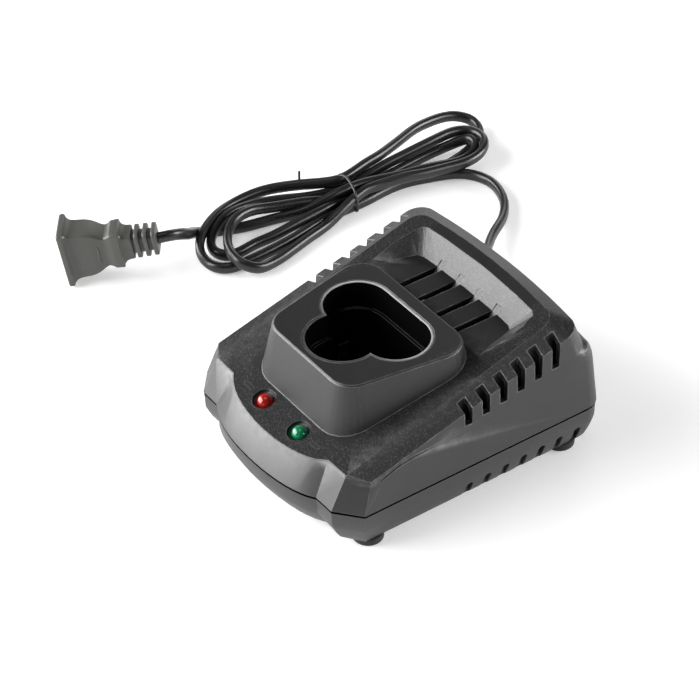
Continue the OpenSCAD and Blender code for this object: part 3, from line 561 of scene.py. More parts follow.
class Paint(Enum):
    """Every finish of the charger."""

    UPPER = ShellPlastic("upper_charcoal", (0.0085, 0.0085, 0.0088), (0.012, 0.012, 0.0123), grey(0.36),
                         roughness=0.42, specular=0.62, grain_depth=0.0001, edge_radius=0.0005,
                         edge_share=0.6, painted_glint_share=0.12)
    LOWER = ShellPlastic("lower_charcoal", (0.02, 0.02, 0.0203), (0.026, 0.026, 0.0263), grey(0.26),
                         roughness=0.44, specular=0.55, grain_depth=0.00006, edge_radius=0.0004,
                         edge_share=0.3, painted_glint_share=0.06)
    WELL = LinerPlastic("well_gloss_black", (0.0018, 0.0018, 0.0019), grey(0.0026), grey(0.32),
                        roughness=0.14, roughness_spread=0.015, specular=0.24, grain=300.0,
                        grain_depth=0.000002, edge_share=1.0, rounding=0.0003)
    TERMINAL = MouldedPlastic("terminal_black", (0.02, 0.02, 0.021), (0.03, 0.03, 0.031), grey(0.1),
                              roughness=0.4, grain_depth=0.00003)
    CONTACT = BrushedMetal("contact_plated", (0.3, 0.29, 0.27), (0.4, 0.39, 0.36), (0.9, 0.88, 0.84),
                           roughness=0.2, grain=1500.0, grain_depth=0.00001)
    RED = TintedLens("lamp_red", (0.26, 0.003, 0.003), (0.45, 0.02, 0.008), (0.8, 0.3, 0.25), glow=0.05)
    GREEN = TintedLens("lamp_green", (0.002, 0.15, 0.06), (0.005, 0.24, 0.1), (0.3, 0.7, 0.5), glow=0.03)
    BOARD = SolderMask("board_green", (0.02, 0.16, 0.06), (0.03, 0.2, 0.08), (0.2, 0.34, 0.12), roughness=0.3,
                       grain_depth=0.00004)
    WIRE = Sleeve("wire_sleeve", (0.42, 0.03, 0.025), (0.5, 0.05, 0.04), (0.6, 0.2, 0.18), roughness=0.4)
    FERRITE = Finish("ferrite_grey", (0.05, 0.05, 0.055), (0.09, 0.09, 0.1), (0.2, 0.2, 0.21), roughness=0.55,
                     metallic=0.3, grain=2400.0, grain_depth=0.00006)
    TAPE = WoundWire("winding_tape", (0.66, 0.5, 0.06), (0.75, 0.6, 0.12), (0.85, 0.75, 0.4), roughness=0.25,
                     axis="Z", pitch=0.0022, grain_depth=0.00008)
    CAN = Finish("can_sleeve", (0.03, 0.045, 0.16), (0.04, 0.06, 0.2), (0.25, 0.28, 0.4), roughness=0.25,
                 grain=700.0, grain_depth=0.00002)
    YELLOW = Finish("yellow_case", (0.72, 0.5, 0.05), (0.78, 0.58, 0.1), (0.9, 0.8, 0.5), roughness=0.4,
                    grain_depth=0.00004)
    COPPER = WoundWire("copper_wire", (0.6, 0.24, 0.09), (0.7, 0.33, 0.15), (0.85, 0.55, 0.35), roughness=0.2,
                       metallic=1.0, axis="X", pitch=0.0009, grain_depth=0.00005)
    BLACK_CASE = Finish("black_case", grey(0.016), grey(0.026), grey(0.09),
                        roughness=0.5, grain=2800.0, grain_depth=0.00005)
    SINK = BrushedMetal("sink_aluminium", (0.62, 0.63, 0.65), (0.7, 0.71, 0.73), (0.85, 0.85, 0.86),
                        roughness=0.35, grain=2600.0, grain_depth=0.00002)
    FUSE = Finish("fuse_glass", (0.75, 0.8, 0.8), (0.85, 0.88, 0.88), grey(0.95), roughness=0.08,
                  transmission=0.7, ior=1.5, grain=400.0, grain_depth=0.00001)
    WHITE_CASE = Finish("white_case", (0.7, 0.7, 0.68), (0.78, 0.78, 0.75), (0.9, 0.9, 0.88), roughness=0.45,
                        grain_depth=0.00004)
    SCREW = BrushedMetal("screw_zinc", (0.45, 0.45, 0.47), (0.58, 0.58, 0.6), grey(0.8), roughness=0.3,
                         grain=2200.0, grain_depth=0.00003, stretch=(1.0, 1.0, 6.0))
    FOOT = Finish("foot_rubber", grey(0.012), (0.022, 0.022, 0.021), (0.07, 0.07, 0.068),
                  roughness=0.62, specular=0.4, grain=1900.0, grain_depth=0.00009, rounding=0.0004)
    RELIEF = Finish("relief_rubber", (0.014, 0.014, 0.015), grey(0.022), grey(0.08),
                    roughness=0.45, grain=1500.0, grain_depth=0.00004, rounding=0.0003)
    CLAMP = MouldedPlastic("clamp_grey", (0.4, 0.4, 0.42), (0.48, 0.48, 0.5), grey(0.7), roughness=0.45,
                           grain_depth=0.00004)
    CORD = Sleeve("cord_black", grey(0.009), grey(0.015), grey(0.05), roughness=0.3, roughness_spread=0.05,
                  cloud=70.0, grain=2200.0, grain_depth=0.00002, edge_share=0.1)
    # Painted shade: a near-black lining for the lamps' countersinks, with a painted highlight on its rim.
    BEZEL = Finish("lamp_bezel", grey(0.0025), grey(0.004), grey(0.2), roughness=0.35, specular=0.3,
                   edge_radius=0.0002, edge_share=0.7, grain_depth=0.00001, rounding=0.0002)
    MARK = Finish("cast_mark", grey(0.003), grey(0.006), grey(0.05), roughness=0.6, edge_radius=0.0001,
                  edge_share=0.5, grain_depth=0.00001)
    MARK_EDGE = Finish("cast_mark_edge", grey(0.035), grey(0.06), grey(0.14), roughness=0.45,
                       edge_radius=0.0001, grain_depth=0.00001)
    SOLDER = BrushedMetal("solder", (0.6, 0.6, 0.62), (0.7, 0.7, 0.71), (0.85, 0.85, 0.86), roughness=0.25,
                          grain=1500.0, grain_depth=0.00002)
    TIE = Sleeve("tie_black", grey(0.012), grey(0.02), grey(0.06), roughness=0.4,
                 grain_depth=0.00002)
    PLUG = MouldedPlastic("plug_olive_grey", (0.060, 0.060, 0.054), (0.072, 0.072, 0.065),
                          (0.2, 0.2, 0.19), roughness=0.38, roughness_spread=0.05, cloud=90.0,
                          grain=2400.0, grain_depth=0.00003, edge_radius=0.0005, edge_share=0.3,
                          rounding=0.0003, painted_glint_share=0.06)

    @property
    def material(self) -> bpy.types.Material:
        """Return this finish's material, made on first use."""
        return bpy.data.materials.get(self.value.name) or self.value.build()


# ---- Mesh helpers ----
def new_object(name: str, mesh: bpy.types.Mesh) -> bpy.types.Object:
    """Put a mesh into the scene.

    Args:
        name: The new object's name.
        mesh: Its mesh.

    Returns:
        The object, at the origin.
    """
    made = bpy.data.objects.new(name, mesh)
    bpy.context.scene.collection.objects.link(made)
    return made


def mesh_object(name: str, points: Sequence[Sequence[float]],
                faces: Sequence[Sequence[int]]) -> bpy.types.Object:
    """Make an object from points in millimetres and their faces.

    Args:
        name: The new object's name.
        points: Corners, in millimetres.
        faces: Corner numbers of each face.

    Returns:
        The object, in metres.
    """
    mesh = bpy.data.meshes.new(name)
    mesh.from_pydata([[c * MM for c in p] for p in points], [], [list(f) for f in faces])
    mesh.validate()
    return new_object(name, mesh)


def smooth(piece: bpy.types.Object, angle: float = 32.0) -> bpy.types.Object:
    """Shade a piece smooth, but for edges sharper than angle, in degrees."""
    piece.data.shade_smooth()
    piece.data.set_sharp_from_angle(angle=math.radians(angle))
    return piece


def dress(piece: bpy.types.Object, paint: Paint, nodes: Iterable[str] = ()) -> bpy.types.Object:
    """Give a finished piece its material, its body, and the nodes that it stands for.

    Args:
        piece: The piece.
        paint: Its finish.
        nodes: The CAD nodes that it replaces.

    Returns:
        The same piece.
    """
    if piece.type == "MESH" and not piece.data.materials:
        piece.data.materials.append(paint.material)
    if nodes:
        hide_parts(*nodes)
    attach(piece, "root")
    LOG.info("%s: %s, %d faces", piece.name, paint.value.name, len(piece.data.polygons))
    return piece


def bake(piece: bpy.types.Object) -> bpy.types.Object:
    """Turn a piece and its modifiers into a plain mesh.

    Args:
        piece: The piece with its modifiers.

    Returns:
        The same piece, without modifiers.
    """
    graph = bpy.context.evaluated_depsgraph_get()
    mesh = bpy.data.meshes.new_from_object(piece.evaluated_get(graph), depsgraph=graph)
    piece.modifiers.clear()
    piece.data = mesh
    mesh.name = piece.name
    return piece


def merged_copy(node: str, name: str, flat: float = 0.6) -> bpy.types.Object:
    """Copy a CAD node and join its loose triangles into whole faces.

    Args:
        node: The CAD node.
        name: The new object's name.
        flat: Triangles that meet at less than this angle become one face, in degrees.

    Returns:
        The copy.
    """
    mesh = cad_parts[node].data.copy()
    mesh.name = name
    mesh.materials.clear()
    for layer in ("custom_normal", "sharp_edge", "sharp_face"):
        if layer in mesh.attributes:
            mesh.attributes.remove(mesh.attributes[layer])
    form = bmesh.new()
    form.from_mesh(mesh)
    bmesh.ops.remove_doubles(form, verts=form.verts, dist=0.000002)
    if flat:
        bmesh.ops.dissolve_limit(form, angle_limit=math.radians(flat), verts=form.verts, edges=form.edges)
    form.to_mesh(mesh)
    form.free()
    return new_object(name, mesh)


def node_box(node: str) -> tuple[Vector, Vector]:
    """Return the lowest and highest corner of a CAD node, in metres."""
    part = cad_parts[node]
    corners = [part.matrix_world @ vertex.co for vertex in part.data.vertices]
    return (Vector([min(c[i] for c in corners) for i in range(3)]),
            Vector([max(c[i] for c in corners) for i in range(3)]))


def soften(piece: bpy.types.Object, width: float, segments: int = 2, angle: float = 28.0) -> bpy.types.Object:
    """Round the sharp edges of a piece.

    Args:
        piece: The piece.
        width: Width of the rounding, in millimetres.
        segments: Faces across the rounding.
        angle: Only edges sharper than this are rounded, in degrees.

    Returns:
        The same piece, with the rounding in its mesh.
    """
    rounding = piece.modifiers.new("rounding", "BEVEL")
    rounding.width = width * MM
    rounding.segments = segments
    rounding.limit_method = "ANGLE"
    rounding.angle_limit = math.radians(angle)
    rounding.miter_outer = "MITER_ARC"
    rounding.use_clamp_overlap = True
    return bake(piece)


def between(a: Any, b: Any, c: Any, d: Any, share: float) -> Any:
    """Return what lies at a share of the way from b to c, on the smooth curve through all four."""
    return 0.5 * (2 * b + (c - a) * share + (2 * a - 5 * b + 4 * c - d) * share * share
                  + (3 * b - a - 3 * c + d) * share ** 3)


def spline_through(points: Sequence[Point], step: float) -> list[Vector]:
    """Draw an even, smooth line through points.

    Args:
        points: The points, in millimetres.
        step: Distance between the line's own points, in millimetres.

    Returns:
        Points of the line, in millimetres.
    """
    knots = [Vector(p) for p in points]
    knots = [2 * knots[0] - knots[1]] + knots + [2 * knots[-1] - knots[-2]]
    line: list[Vector] = []
    for four in zip(knots, knots[1:], knots[2:], knots[3:]):
        count = max(2, round((four[2] - four[1]).length / step))
        line.extend(between(*four, i / count) for i in range(count))
    line.append(knots[-2])
    return line


def ease(line: Sequence[Vector], passes: int) -> list[Vector]:
    """Even out a line's bends, as the stiffness of a cord does, and keep its ends.

    Args:
        line: Points of the line.
        passes: How often each point moves towards its neighbours.

    Returns:
        As many points, on a calmer line.
    """
    eased = list(line)
    for _ in range(passes):
        eased[1:-1] = [(a + 2 * b + c) / 4 for a, b, c in zip(eased, eased[1:], eased[2:])]
    return eased


def skin(name: str, rings: Sequence[Sequence[Sequence[float]]], closed: bool = False) -> bpy.types.Object:
    """Stretch a closed skin over rings of points.

    Args:
        name: The new object's name.
        rings: Rings with equally many points, in millimetres.
        closed: Whether the last ring joins the first, where there are no end faces.

    Returns:
        The skin, with its faces outwards.
    """
    count, around = len(rings), len(rings[0])
    faces: list[tuple[int, ...]] = []
    for i in range(count if closed else count - 1):
        here, there = i * around, (i + 1) % count * around
        for j in range(around):
            k = (j + 1) % around
            faces.append((here + j, here + k, there + k, there + j))
    if not closed:
        faces.append(tuple(range(around - 1, -1, -1)))
        faces.append(tuple(range((count - 1) * around, count * around)))
    piece = mesh_object(name, [point for ring in rings for point in ring], faces)
    form = bmesh.new()
    form.from_mesh(piece.data)
    bmesh.ops.remove_doubles(form, verts=form.verts, dist=SAME_PLACE)
    bmesh.ops.recalc_face_normals(form, faces=form.faces)
    form.to_mesh(piece.data)
    form.free()
    return piece


def sweep(name: str, line: Sequence[Vector], outline: Sequence[tuple[float, float]],
          scales: Optional[Sequence[float]] = None, closed: bool = False) -> bpy.types.Object:
    """Sweep an upright outline along a line.

    Args:
        name: The new object's name.
        line: Points of the line, in millimetres.
        outline: Corners of the outline as (sideways, upwards), in millimetres.
        scales: The outline's size at each point of the line.
        closed: Whether the line is a ring.

    Returns:
        The swept piece, with closed ends.
    """
    last = len(line) - 1
    rings: list[list[Vector]] = []
    for i, centre in enumerate(line):
        ahead = line[(i + 1) % len(line)] if closed else line[min(i + 1, last)]
        behind = line[i - 1] if closed else line[max(i - 1, 0)]
        along = (ahead - behind).normalized()
        plumb = abs(along.z) >= 0.999
        side = Vector((1, 0, 0)) if plumb else Vector((along.y, -along.x, 0)).normalized()
        up = side.cross(along)
        size = scales[i] if scales else 1.0
        rings.append([centre + size * (x * side + y * up) for x, y in outline])
    return skin(name, rings, closed)


def revolve(name: str, profile: Sequence[tuple[float, float]], sides: int = 40) -> bpy.types.Object:
    """Turn a closed profile round the Z axis.

    Args:
        name: The new object's name.
        profile: Corners as (radius, height), in millimetres.
        sides: Faces round the axis.

    Returns:
        The turned piece.
    """
    rings = [[(r * x, r * y, z) for r, z in profile] for x, y in round_outline(1.0, sides)]
    return skin(name, rings, closed=True)


def round_outline(radius: float, sides: int = 10) -> list[tuple[float, float]]:
    """Return a circle's corners, in millimetres."""
    return [(radius * math.cos(math.tau * i / sides), radius * math.sin(math.tau * i / sides))
            for i in range(sides)]


# ---- Studio ----
@dataclass
class Studio:
    """Camera, lamps, and the pale floor. Sizes are in metres and angles in degrees.

    A lamp is its name, its azimuth and elevation round the object, its power in watts, and its side.
    """

    place: Point = (0.5685002, -0.4269297, 0.6077967)
    azimuth: float = 54.2234
    elevation: float = 38.8265
    roll: float = -0.0461
    lens: float = 142.77
    sensor: float = 36.0
    sight: tuple[float, float] = (0.05, 60.0)
    floor_half: float = 6.0
    floor_glow: float = 0.35
    floor_bounce: float = 0.3
    room_horizon: float = 0.16
    room_overhead: float = 0.05
    target: Point = (0.0, 0.0, 0.03)
    lamp_distance: float = 1.6
    lamps: tuple[tuple[str, float, float, float, float], ...] = (
        ("key", 240, 22, 66, 1.5), ("key_side", 205, 14, 20, 0.9), ("back", 60, 14, 24, 0.8),
        ("back_side", 30, 14, 8, 0.8), ("left", 135, 20, 4, 0.8), ("top", 0, 88, 3, 0.8))

    def camera(self) -> None:
        """Stand the camera where it sees the object from the front right, from above."""
        a, e, roll = (math.radians(x) for x in (self.azimuth, self.elevation, self.roll))
        right = Vector((math.cos(a), math.sin(a), 0))
        up = Vector((-math.sin(a) * math.sin(e), math.cos(a) * math.sin(e), math.cos(e)))
        ahead = Vector((-math.sin(a) * math.cos(e), math.cos(a) * math.cos(e), -math.sin(e)))
        across = math.cos(roll) * right + math.sin(roll) * up
        upright = math.cos(roll) * up - math.sin(roll) * right
        data = bpy.data.cameras.new("camera")
        data.lens = self.lens
        data.sensor_width = self.sensor
        data.clip_start, data.clip_end = self.sight
        camera = bpy.data.objects.new("camera", data)
        turned = Matrix((across, upright, -ahead)).transposed().to_4x4()
        camera.matrix_world = Matrix.Translation(self.place) @ turned
        bpy.context.scene.collection.objects.link(camera)
        bpy.context.scene.camera = camera

    def floor(self) -> None:
        """Lay a white floor that keeps the object's shadow."""
        half = self.floor_half / MM
        corners = [(-half, -half, 0), (half, -half, 0), (half, half, 0), (-half, half, 0)]
        floor = mesh_object("floor", corners, [(0, 1, 2, 3)])
        graph = ShaderGraph("floor_white")
        seen = graph.add("ShaderNodeLightPath").outputs["Is Camera Ray"]
        glow = graph.span(seen, 0.0, 1.0, self.floor_bounce, self.floor_glow)
        paper = graph.blend(graph.noise(30.0), grey(0.78), grey(0.81))
        matt = graph.add("ShaderNodeBsdfDiffuse", {"Color": paper})
        light = graph.add("ShaderNodeEmission", {"Color": (1, 1, 1, 1), "Strength": glow})
        both = graph.add("ShaderNodeAddShader", {0: matt.outputs[0], 1: light.outputs[0]})
        graph.add("ShaderNodeOutputMaterial", {"Surface": both.outputs[0]})
        floor.data.materials.append(graph.material)

    def sky(self) -> None:
        """Fill the room with soft light, white to the eye and dim overhead."""
        world = bpy.data.worlds.new("room")
        world.use_nodes = True
        bpy.context.scene.world = world
        graph = NodeGraph(world.node_tree)
        seen = graph.add("ShaderNodeLightPath").outputs["Is Camera Ray"]
        direction = graph.add("ShaderNodeTexCoord").outputs["Generated"]
        height = graph.split(direction)["Z"]
        room = graph.span(height, 0.0, 0.5, self.room_horizon, self.room_overhead)
        strength = graph.maths("MAXIMUM", room, seen)
        light = graph.add("ShaderNodeBackground", {"Color": (1, 1, 1, 1), "Strength": strength})
        graph.add("ShaderNodeOutputWorld", {"Surface": light.outputs[0]})

    def lamp(self, name: str, azimuth: float, elevation: float, power: float, size: float) -> None:
        """Hang one square soft lamp that points at the object.

        Args:
            name: The lamp's name.
            azimuth: Its direction round the object, in degrees from +X.
            elevation: Its height above the horizon, in degrees.
            power: Its power in watts.
            size: Its side in metres.
        """
        data = bpy.data.lights.new(name, "AREA")
        data.shape = "SQUARE"
        data.size = size
        data.energy = power
        lamp = bpy.data.objects.new(name, data)
        a, e = math.radians(azimuth), math.radians(elevation)
        flat = self.lamp_distance * math.cos(e)
        place = Vector((flat * math.cos(a), flat * math.sin(a), self.lamp_distance * math.sin(e)))
        turned = (Vector(self.target) - place).to_track_quat("-Z", "Y").to_matrix().to_4x4()
        lamp.matrix_world = Matrix.Translation(place) @ turned
        bpy.context.scene.collection.objects.link(lamp)

    def build(self) -> None:
        """Set up the whole studio."""
        self.camera()
        self.floor()
        self.sky()
        for lamp in self.lamps:
            self.lamp(*lamp)
        bpy.context.scene.view_settings.view_transform = "Standard"
        LOG.info("studio is set")


# ---- Things that repeat ----
class Repeats:
    """Geometry Nodes trees that repeat one small piece."""

    @staticmethod
    def tree(name: str, inputs: Sequence[tuple[str, str, Any]]
             ) -> tuple[NodeGraph, Sockets, dict[str, str]]:
        """Start a tree with named inputs.

        Args:
            name: The tree's name.
            inputs: Name, socket type and value of each input.

        Returns:
            The graph, its inputs' sockets by name, and the identifier of each input.
        """
        tree = bpy.data.node_groups.new(name, "GeometryNodeTree")
        tree.interface.new_socket("Geometry", in_out="OUTPUT", socket_type="NodeSocketGeometry")
        keys = {}
        for label, kind, value in inputs:
            socket = tree.interface.new_socket(label, in_out="INPUT", socket_type=kind)
            if value is not None:
                socket.default_value = value
            keys[label] = socket.identifier
        graph = NodeGraph(tree)
        return graph, graph.add("NodeGroupInput").outputs, keys

    @staticmethod
    def finish(graph: NodeGraph, given: Sockets, points: Socket, **more: Socket) -> None:
        """Set the piece on points, and end a tree with real geometry and its material.

        Args:
            graph: The tree's graph.
            given: The tree's inputs, with the piece and the material.
            points: The points.
            **more: Further inputs of the node that sets the copies.
        """
        source = graph.add("GeometryNodeObjectInfo", {"Object": given["Piece"]}).outputs["Geometry"]
        copies = graph.add("GeometryNodeInstanceOnPoints", {"Points": points, "Instance": source, **more})
        real = graph.add("GeometryNodeRealizeInstances", {0: copies.outputs[0]}).outputs[0]
        painted = graph.add("GeometryNodeSetMaterial", {"Geometry": real, "Material": given["Material"]})
        graph.add("NodeGroupOutput", {0: painted.outputs[0]})

    @classmethod
    def row(cls) -> tuple[bpy.types.NodeTree, dict[str, str]]:
        """Make the tree that sets copies along a straight row, each a little smaller.

        Returns:
            The tree and its inputs' identifiers.
        """
        graph, given, keys = cls.tree("row_of_copies", [
            ("Piece", "NodeSocketObject", None), ("Count", "NodeSocketInt", 3),
            ("Start", "NodeSocketVector", (0, 0, 0)), ("Step", "NodeSocketVector", (0, 0, 0.001)),
            ("Shrink", "NodeSocketFloat", 0.0), ("Material", "NodeSocketMaterial", None)])
        line = graph.add("GeometryNodeMeshLine", {"Count": given["Count"], "Start Location": given["Start"],
                                                  "Offset": given["Step"]}, mode="OFFSET")
        number = graph.add("GeometryNodeInputIndex").outputs[0]
        size = graph.maths("SUBTRACT", 1.0, graph.maths("MULTIPLY", number, given["Shrink"]))
        scale = graph.add("ShaderNodeCombineXYZ", {0: size, 1: size, 2: 1.0}).outputs[0]
        cls.finish(graph, given, line.outputs[0], Scale=scale)
        return graph.tree, keys

    @classmethod
    def ring(cls) -> tuple[bpy.types.NodeTree, dict[str, str]]:
        """Make the tree that sets copies round a circle, each turned outwards.

        Returns:
            The tree and its inputs' identifiers.
        """
        graph, given, keys = cls.tree("ring_of_copies", [
            ("Piece", "NodeSocketObject", None), ("Count", "NodeSocketInt", 12),
            ("Centre", "NodeSocketVector", (0, 0, 0)), ("Radius", "NodeSocketFloat", 0.004),
            ("Material", "NodeSocketMaterial", None)])
        number = graph.add("GeometryNodeInputIndex").outputs[0]
        angle = graph.maths("DIVIDE", graph.maths("MULTIPLY", number, math.tau), given["Count"])
        spot = graph.add("ShaderNodeCombineXYZ", {
            0: graph.maths("MULTIPLY", graph.maths("COSINE", angle), given["Radius"]),
            1: graph.maths("MULTIPLY", graph.maths("SINE", angle), given["Radius"])}).outputs[0]
        place = graph.add("ShaderNodeVectorMath", {0: spot, 1: given["Centre"]}, operation="ADD")
        dots = graph.add("GeometryNodePoints", {"Count": given["Count"], "Position": place.outputs[0]})
        turn = graph.add("ShaderNodeCombineXYZ", {2: angle}).outputs[0]
        cls.finish(graph, given, dots.outputs[0], Rotation=turn)
        return graph.tree, keys

    @classmethod
    def scatter(cls) -> tuple[bpy.types.NodeTree, dict[str, str]]:
        """Make the tree that scatters copies over a face, with a fixed seed.

        Returns:
            The tree and its inputs' identifiers.
        """
        graph, given, keys = cls.tree("scattered_copies", [
            ("Piece", "NodeSocketObject", None), ("Ground", "NodeSocketObject", None),
            ("Distance", "NodeSocketFloat", 0.003), ("Seed", "NodeSocketInt", 7),
            ("Material", "NodeSocketMaterial", None)])
        ground = graph.add("GeometryNodeObjectInfo", {"Object": given["Ground"]})
        dots = graph.add("GeometryNodeDistributePointsOnFaces", {
            "Mesh": ground.outputs["Geometry"], "Distance Min": given["Distance"],
            "Density Max": 40000.0, "Seed": given["Seed"]}, distribute_method="POISSON")
        smallest, largest = 0.75, 1.2
        size = graph.add("FunctionNodeRandomValue", {2: smallest, 3: largest, "Seed": given["Seed"]},
                         data_type="FLOAT").outputs[1]
        cls.finish(graph, given, dots.outputs["Points"], Scale=size)
        return graph.tree, keys

    @staticmethod
    def run(name: str, made: tuple[bpy.types.NodeTree, dict[str, str]],
            values: dict[str, Any]) -> bpy.types.Object:
        """Run a tree and keep its result as a plain mesh.

        Args:
            name: The new object's name.
            made: The tree and its inputs' identifiers.
            values: Value of each input by name.

        Returns:
            The new object, without modifiers.
        """
        tree, keys = made
        piece = new_object(name, bpy.data.meshes.new(name))
        modifier = piece.modifiers.new("repeat", "NODES")
        modifier.node_group = tree
        for label, value in values.items():
            modifier[keys[label]] = value
        bake(piece)
        for label in ("Piece", "Ground"):
            if label in values and values[label].name in bpy.data.objects:
                bpy.data.objects.remove(values[label])
        return piece


# ---- Mains cord ----
@dataclass
class MainsCord:
    """Flat twin cord from the housing's rear, tied in a hank, out to its plug. Sizes are in millimetres."""

    diameter: float = 3.5
    half_height: float = 2.18
    half_width: float = 1.75
    groove: float = 0.1
    groove_spread: float = 0.24
    fullness: float = 0.9
    sides: int = 20
    step: float = 1.3
    calm: int = 8
    tie_wire: float = 0.46
    tie_route: tuple[Point, ...] = (
        (-131.4, 54.1, 10.1), (-131.4, 54.1, 6.5), (-131.3, 54.5, 2.6), (-129.5, 56.8, 2.2),
        (-126.2, 60.5, 3.5), (-123.4, 63.4, 6.4), (-122.0, 64.4, 8.5), (-121.1, 65.3, 9.9),
        (-120.2, 66.2, 9.6), (-120.5, 66.2, 8.8), (-121.3, 65.4, 9.0), (-120.4, 65.4, 9.9),
        (-118.0, 65.9, 10.3), (-112.9, 64.8, 10.3), (-109.0, 63.7, 9.4), (-107.6, 63.5, 6.9),
        (-107.3, 63.7, 3.4), (-108.3, 64.0, 1.2), (-111.0, 64.4, 0.62), (-115.0, 64.9, 0.56),
        (-119.6, 65.2, 0.62), (-122.2, 65.1, 1.6), (-122.9, 64.8, 4.2), (-122.4, 64.5, 7.3),
        (-121.5, 64.9, 8.9), (-120.6, 65.6, 9.3),
    )
    lead: tuple[Point, ...] = (
        (-28, 58.5, 12), (-29, 64.5, 12), (-32.5, 70, 11.5), (-37.5, 74, 10.5), (-43, 77, 9.5),
        (-49, 79.5, 8.5), (-54, 82.5, 7), (-58.5, 87, 5.5), (-63, 92, 4.5), (-66.5, 97, 4),
        (-70, 102, 3), (-74.5, 107, 2.3), (-79.5, 111, 2.3), (-85, 113.5, 2.3), (-91.5, 115, 2.3),
        (-98, 113.5, 2.3), (-103.5, 109.5, 2.3), (-106.5, 104, 2.3), (-108.5, 98, 2.3),
        (-110.5, 92, 2.3), (-111.5, 86, 2.3), (-111.5, 80, 2.3),
    )
    turns: tuple[tuple[Point, ...], ...] = (
        (
            (-110, 67.5, 2.5), (-110.5, 61, 2.3), (-109.5, 48, 2.3), (-107, 35.5, 2.3),
            (-105.5, 23, 2.3), (-105, 10.5, 2.3), (-106, 4, 2.3), (-111, 0.5, 2.3), (-117.5, 0.5, 3.5),
            (-122, 3.5, 6.5), (-129.5, 14, 6.5), (-134, 25.5, 5.5), (-134, 38.5, 6), (-130, 50.5, 6),
            (-123, 61, 7), (-121, 67, 7.5), (-123.5, 79.5, 8), (-124.5, 86, 8), (-128.5, 98, 7.5),
            (-132.5, 110, 7), (-133.5, 123, 6), (-132, 129, 5), (-128, 133.5, 3.5), (-122, 132.5, 2.3),
            (-117.5, 128, 2.3), (-112.5, 116, 2.3), (-111, 103.5, 2.3), (-113.5, 91, 2.3),
            (-115, 85, 2.3), (-114, 72, 3),
        ),
        (
            (-113.5, 59.5, 3.5), (-112.5, 53.5, 4.5), (-112, 41, 4), (-112, 28, 2.5),
            (-112.5, 21.5, 2.3), (-111.5, 15.5, 2.3), (-111.5, 9, 2.3), (-116.5, 5.5, 3), (-122, 8, 4.5),
            (-128, 19, 6.5), (-130, 31.5, 5), (-127, 44, 4), (-124.5, 50, 3.5), (-121.5, 62, 3),
            (-121.5, 75, 3.5), (-121.5, 87.5, 5.5), (-121.5, 94, 6), (-121, 106.5, 7.5),
            (-121.5, 119, 7.5), (-119, 125, 7), (-113, 126.5, 7), (-107.5, 123.5, 7), (-104.5, 118, 6.5),
            (-103.5, 111.5, 6.5), (-104.5, 105.5, 6.5), (-106, 92.5, 7.5), (-107.5, 86.5, 8),
            (-110.5, 74, 7), (-110.5, 68, 7),
        ),
        (
            (-107.5, 55.5, 4.5), (-106.5, 49.5, 2.3), (-103.5, 37.5, 2.3), (-100, 25, 2.3),
            (-99, 18.5, 2.3), (-98, 12.5, 3.5), (-101, 7.5, 6), (-107, 7, 7), (-113, 9.5, 7),
            (-118, 13, 7.5), (-122, 18, 8), (-124, 24, 8), (-124.5, 30, 7), (-123, 36.5, 6),
            (-120, 48.5, 5), (-117, 61, 3), (-117.5, 73.5, 3), (-118.5, 86.5, 2.5), (-120.5, 105.5, 2.5),
            (-118.5, 118, 4.5), (-115.5, 123, 6.5), (-110, 121.5, 5.5), (-108, 115.5, 4.5),
            (-108, 109.5, 4.5), (-109, 97, 6.5), (-111.5, 84.5, 6.5), (-114.5, 72, 7),
        ),
    )
    tail: tuple[Point, ...] = (
        (-115, 59, 7), (-117.5, 47.5, 3), (-121, 35.5, 2.3), (-123.5, 23, 2.3), (-128.5, 11, 2.3),
        (-127.5, 5.5, 5), (-124.5, 1.5, 8.5), (-120.5, -2.5, 12), (-118.5, -6, 15), (-117, -9.5, 17),
        (-117, -13, 18), (-118.5, -16.5, 17.5),
    )

    def outline(self) -> list[tuple[float, float]]:
        """Return the cord's section: an upright oval with a shallow groove between its two cores."""
        corners = []
        for i in range(self.sides):
            a = math.tau * i / self.sides
            dent = self.groove * math.exp(-(math.sin(a) / self.groove_spread) ** 2)
            across = math.copysign(abs(math.cos(a)) ** self.fullness, math.cos(a))
            corners.append(((self.half_width - dent) * across, self.half_height * math.sin(a)))
        return corners

    def cord(self) -> bpy.types.Object:
        """Lay the cord along its whole route.

        Returns:
            The cord, as one tube.
        """
        route = [*self.lead, *(point for turn in self.turns for point in turn), *self.tail]
        line = ease(spline_through(route, self.step), self.calm)
        for point in line:
            point.z = max(point.z, self.half_height)
        tube = smooth(sweep("mains_cord", line, self.outline()), 60.0)
        self.path = [tuple(p * MM) for p in line]
        self.length = sum((b - a).length for a, b in zip(line, line[1:])) * MM
        return dress(tube, Paint.CORD, ("cord_lead", "cord_hank", "cord_tail"))

    def tie(self) -> bpy.types.Object:
        """Bend the wire tie once round the hank, with an eye on top and one end that stands up.

        Returns:
            The tie.
        """
        line = spline_through(self.tie_route, 0.5)
        wire = sweep("cord_wire_tie", line, round_outline(self.tie_wire, 12))
        return dress(smooth(wire, 60.0), Paint.TIE, ("cord_tie",))

    def build(self, plug: bpy.types.Object, relief: bpy.types.Object,
              extra: Sequence[bpy.types.Object]) -> None:
        """Args:
            plug: Not used.
            relief: Not used.
            extra: Not used.
        """
        cord = self.cord()
        tie = self.tie()
        LOG.info("mains cord is %.3f m long", self.length)


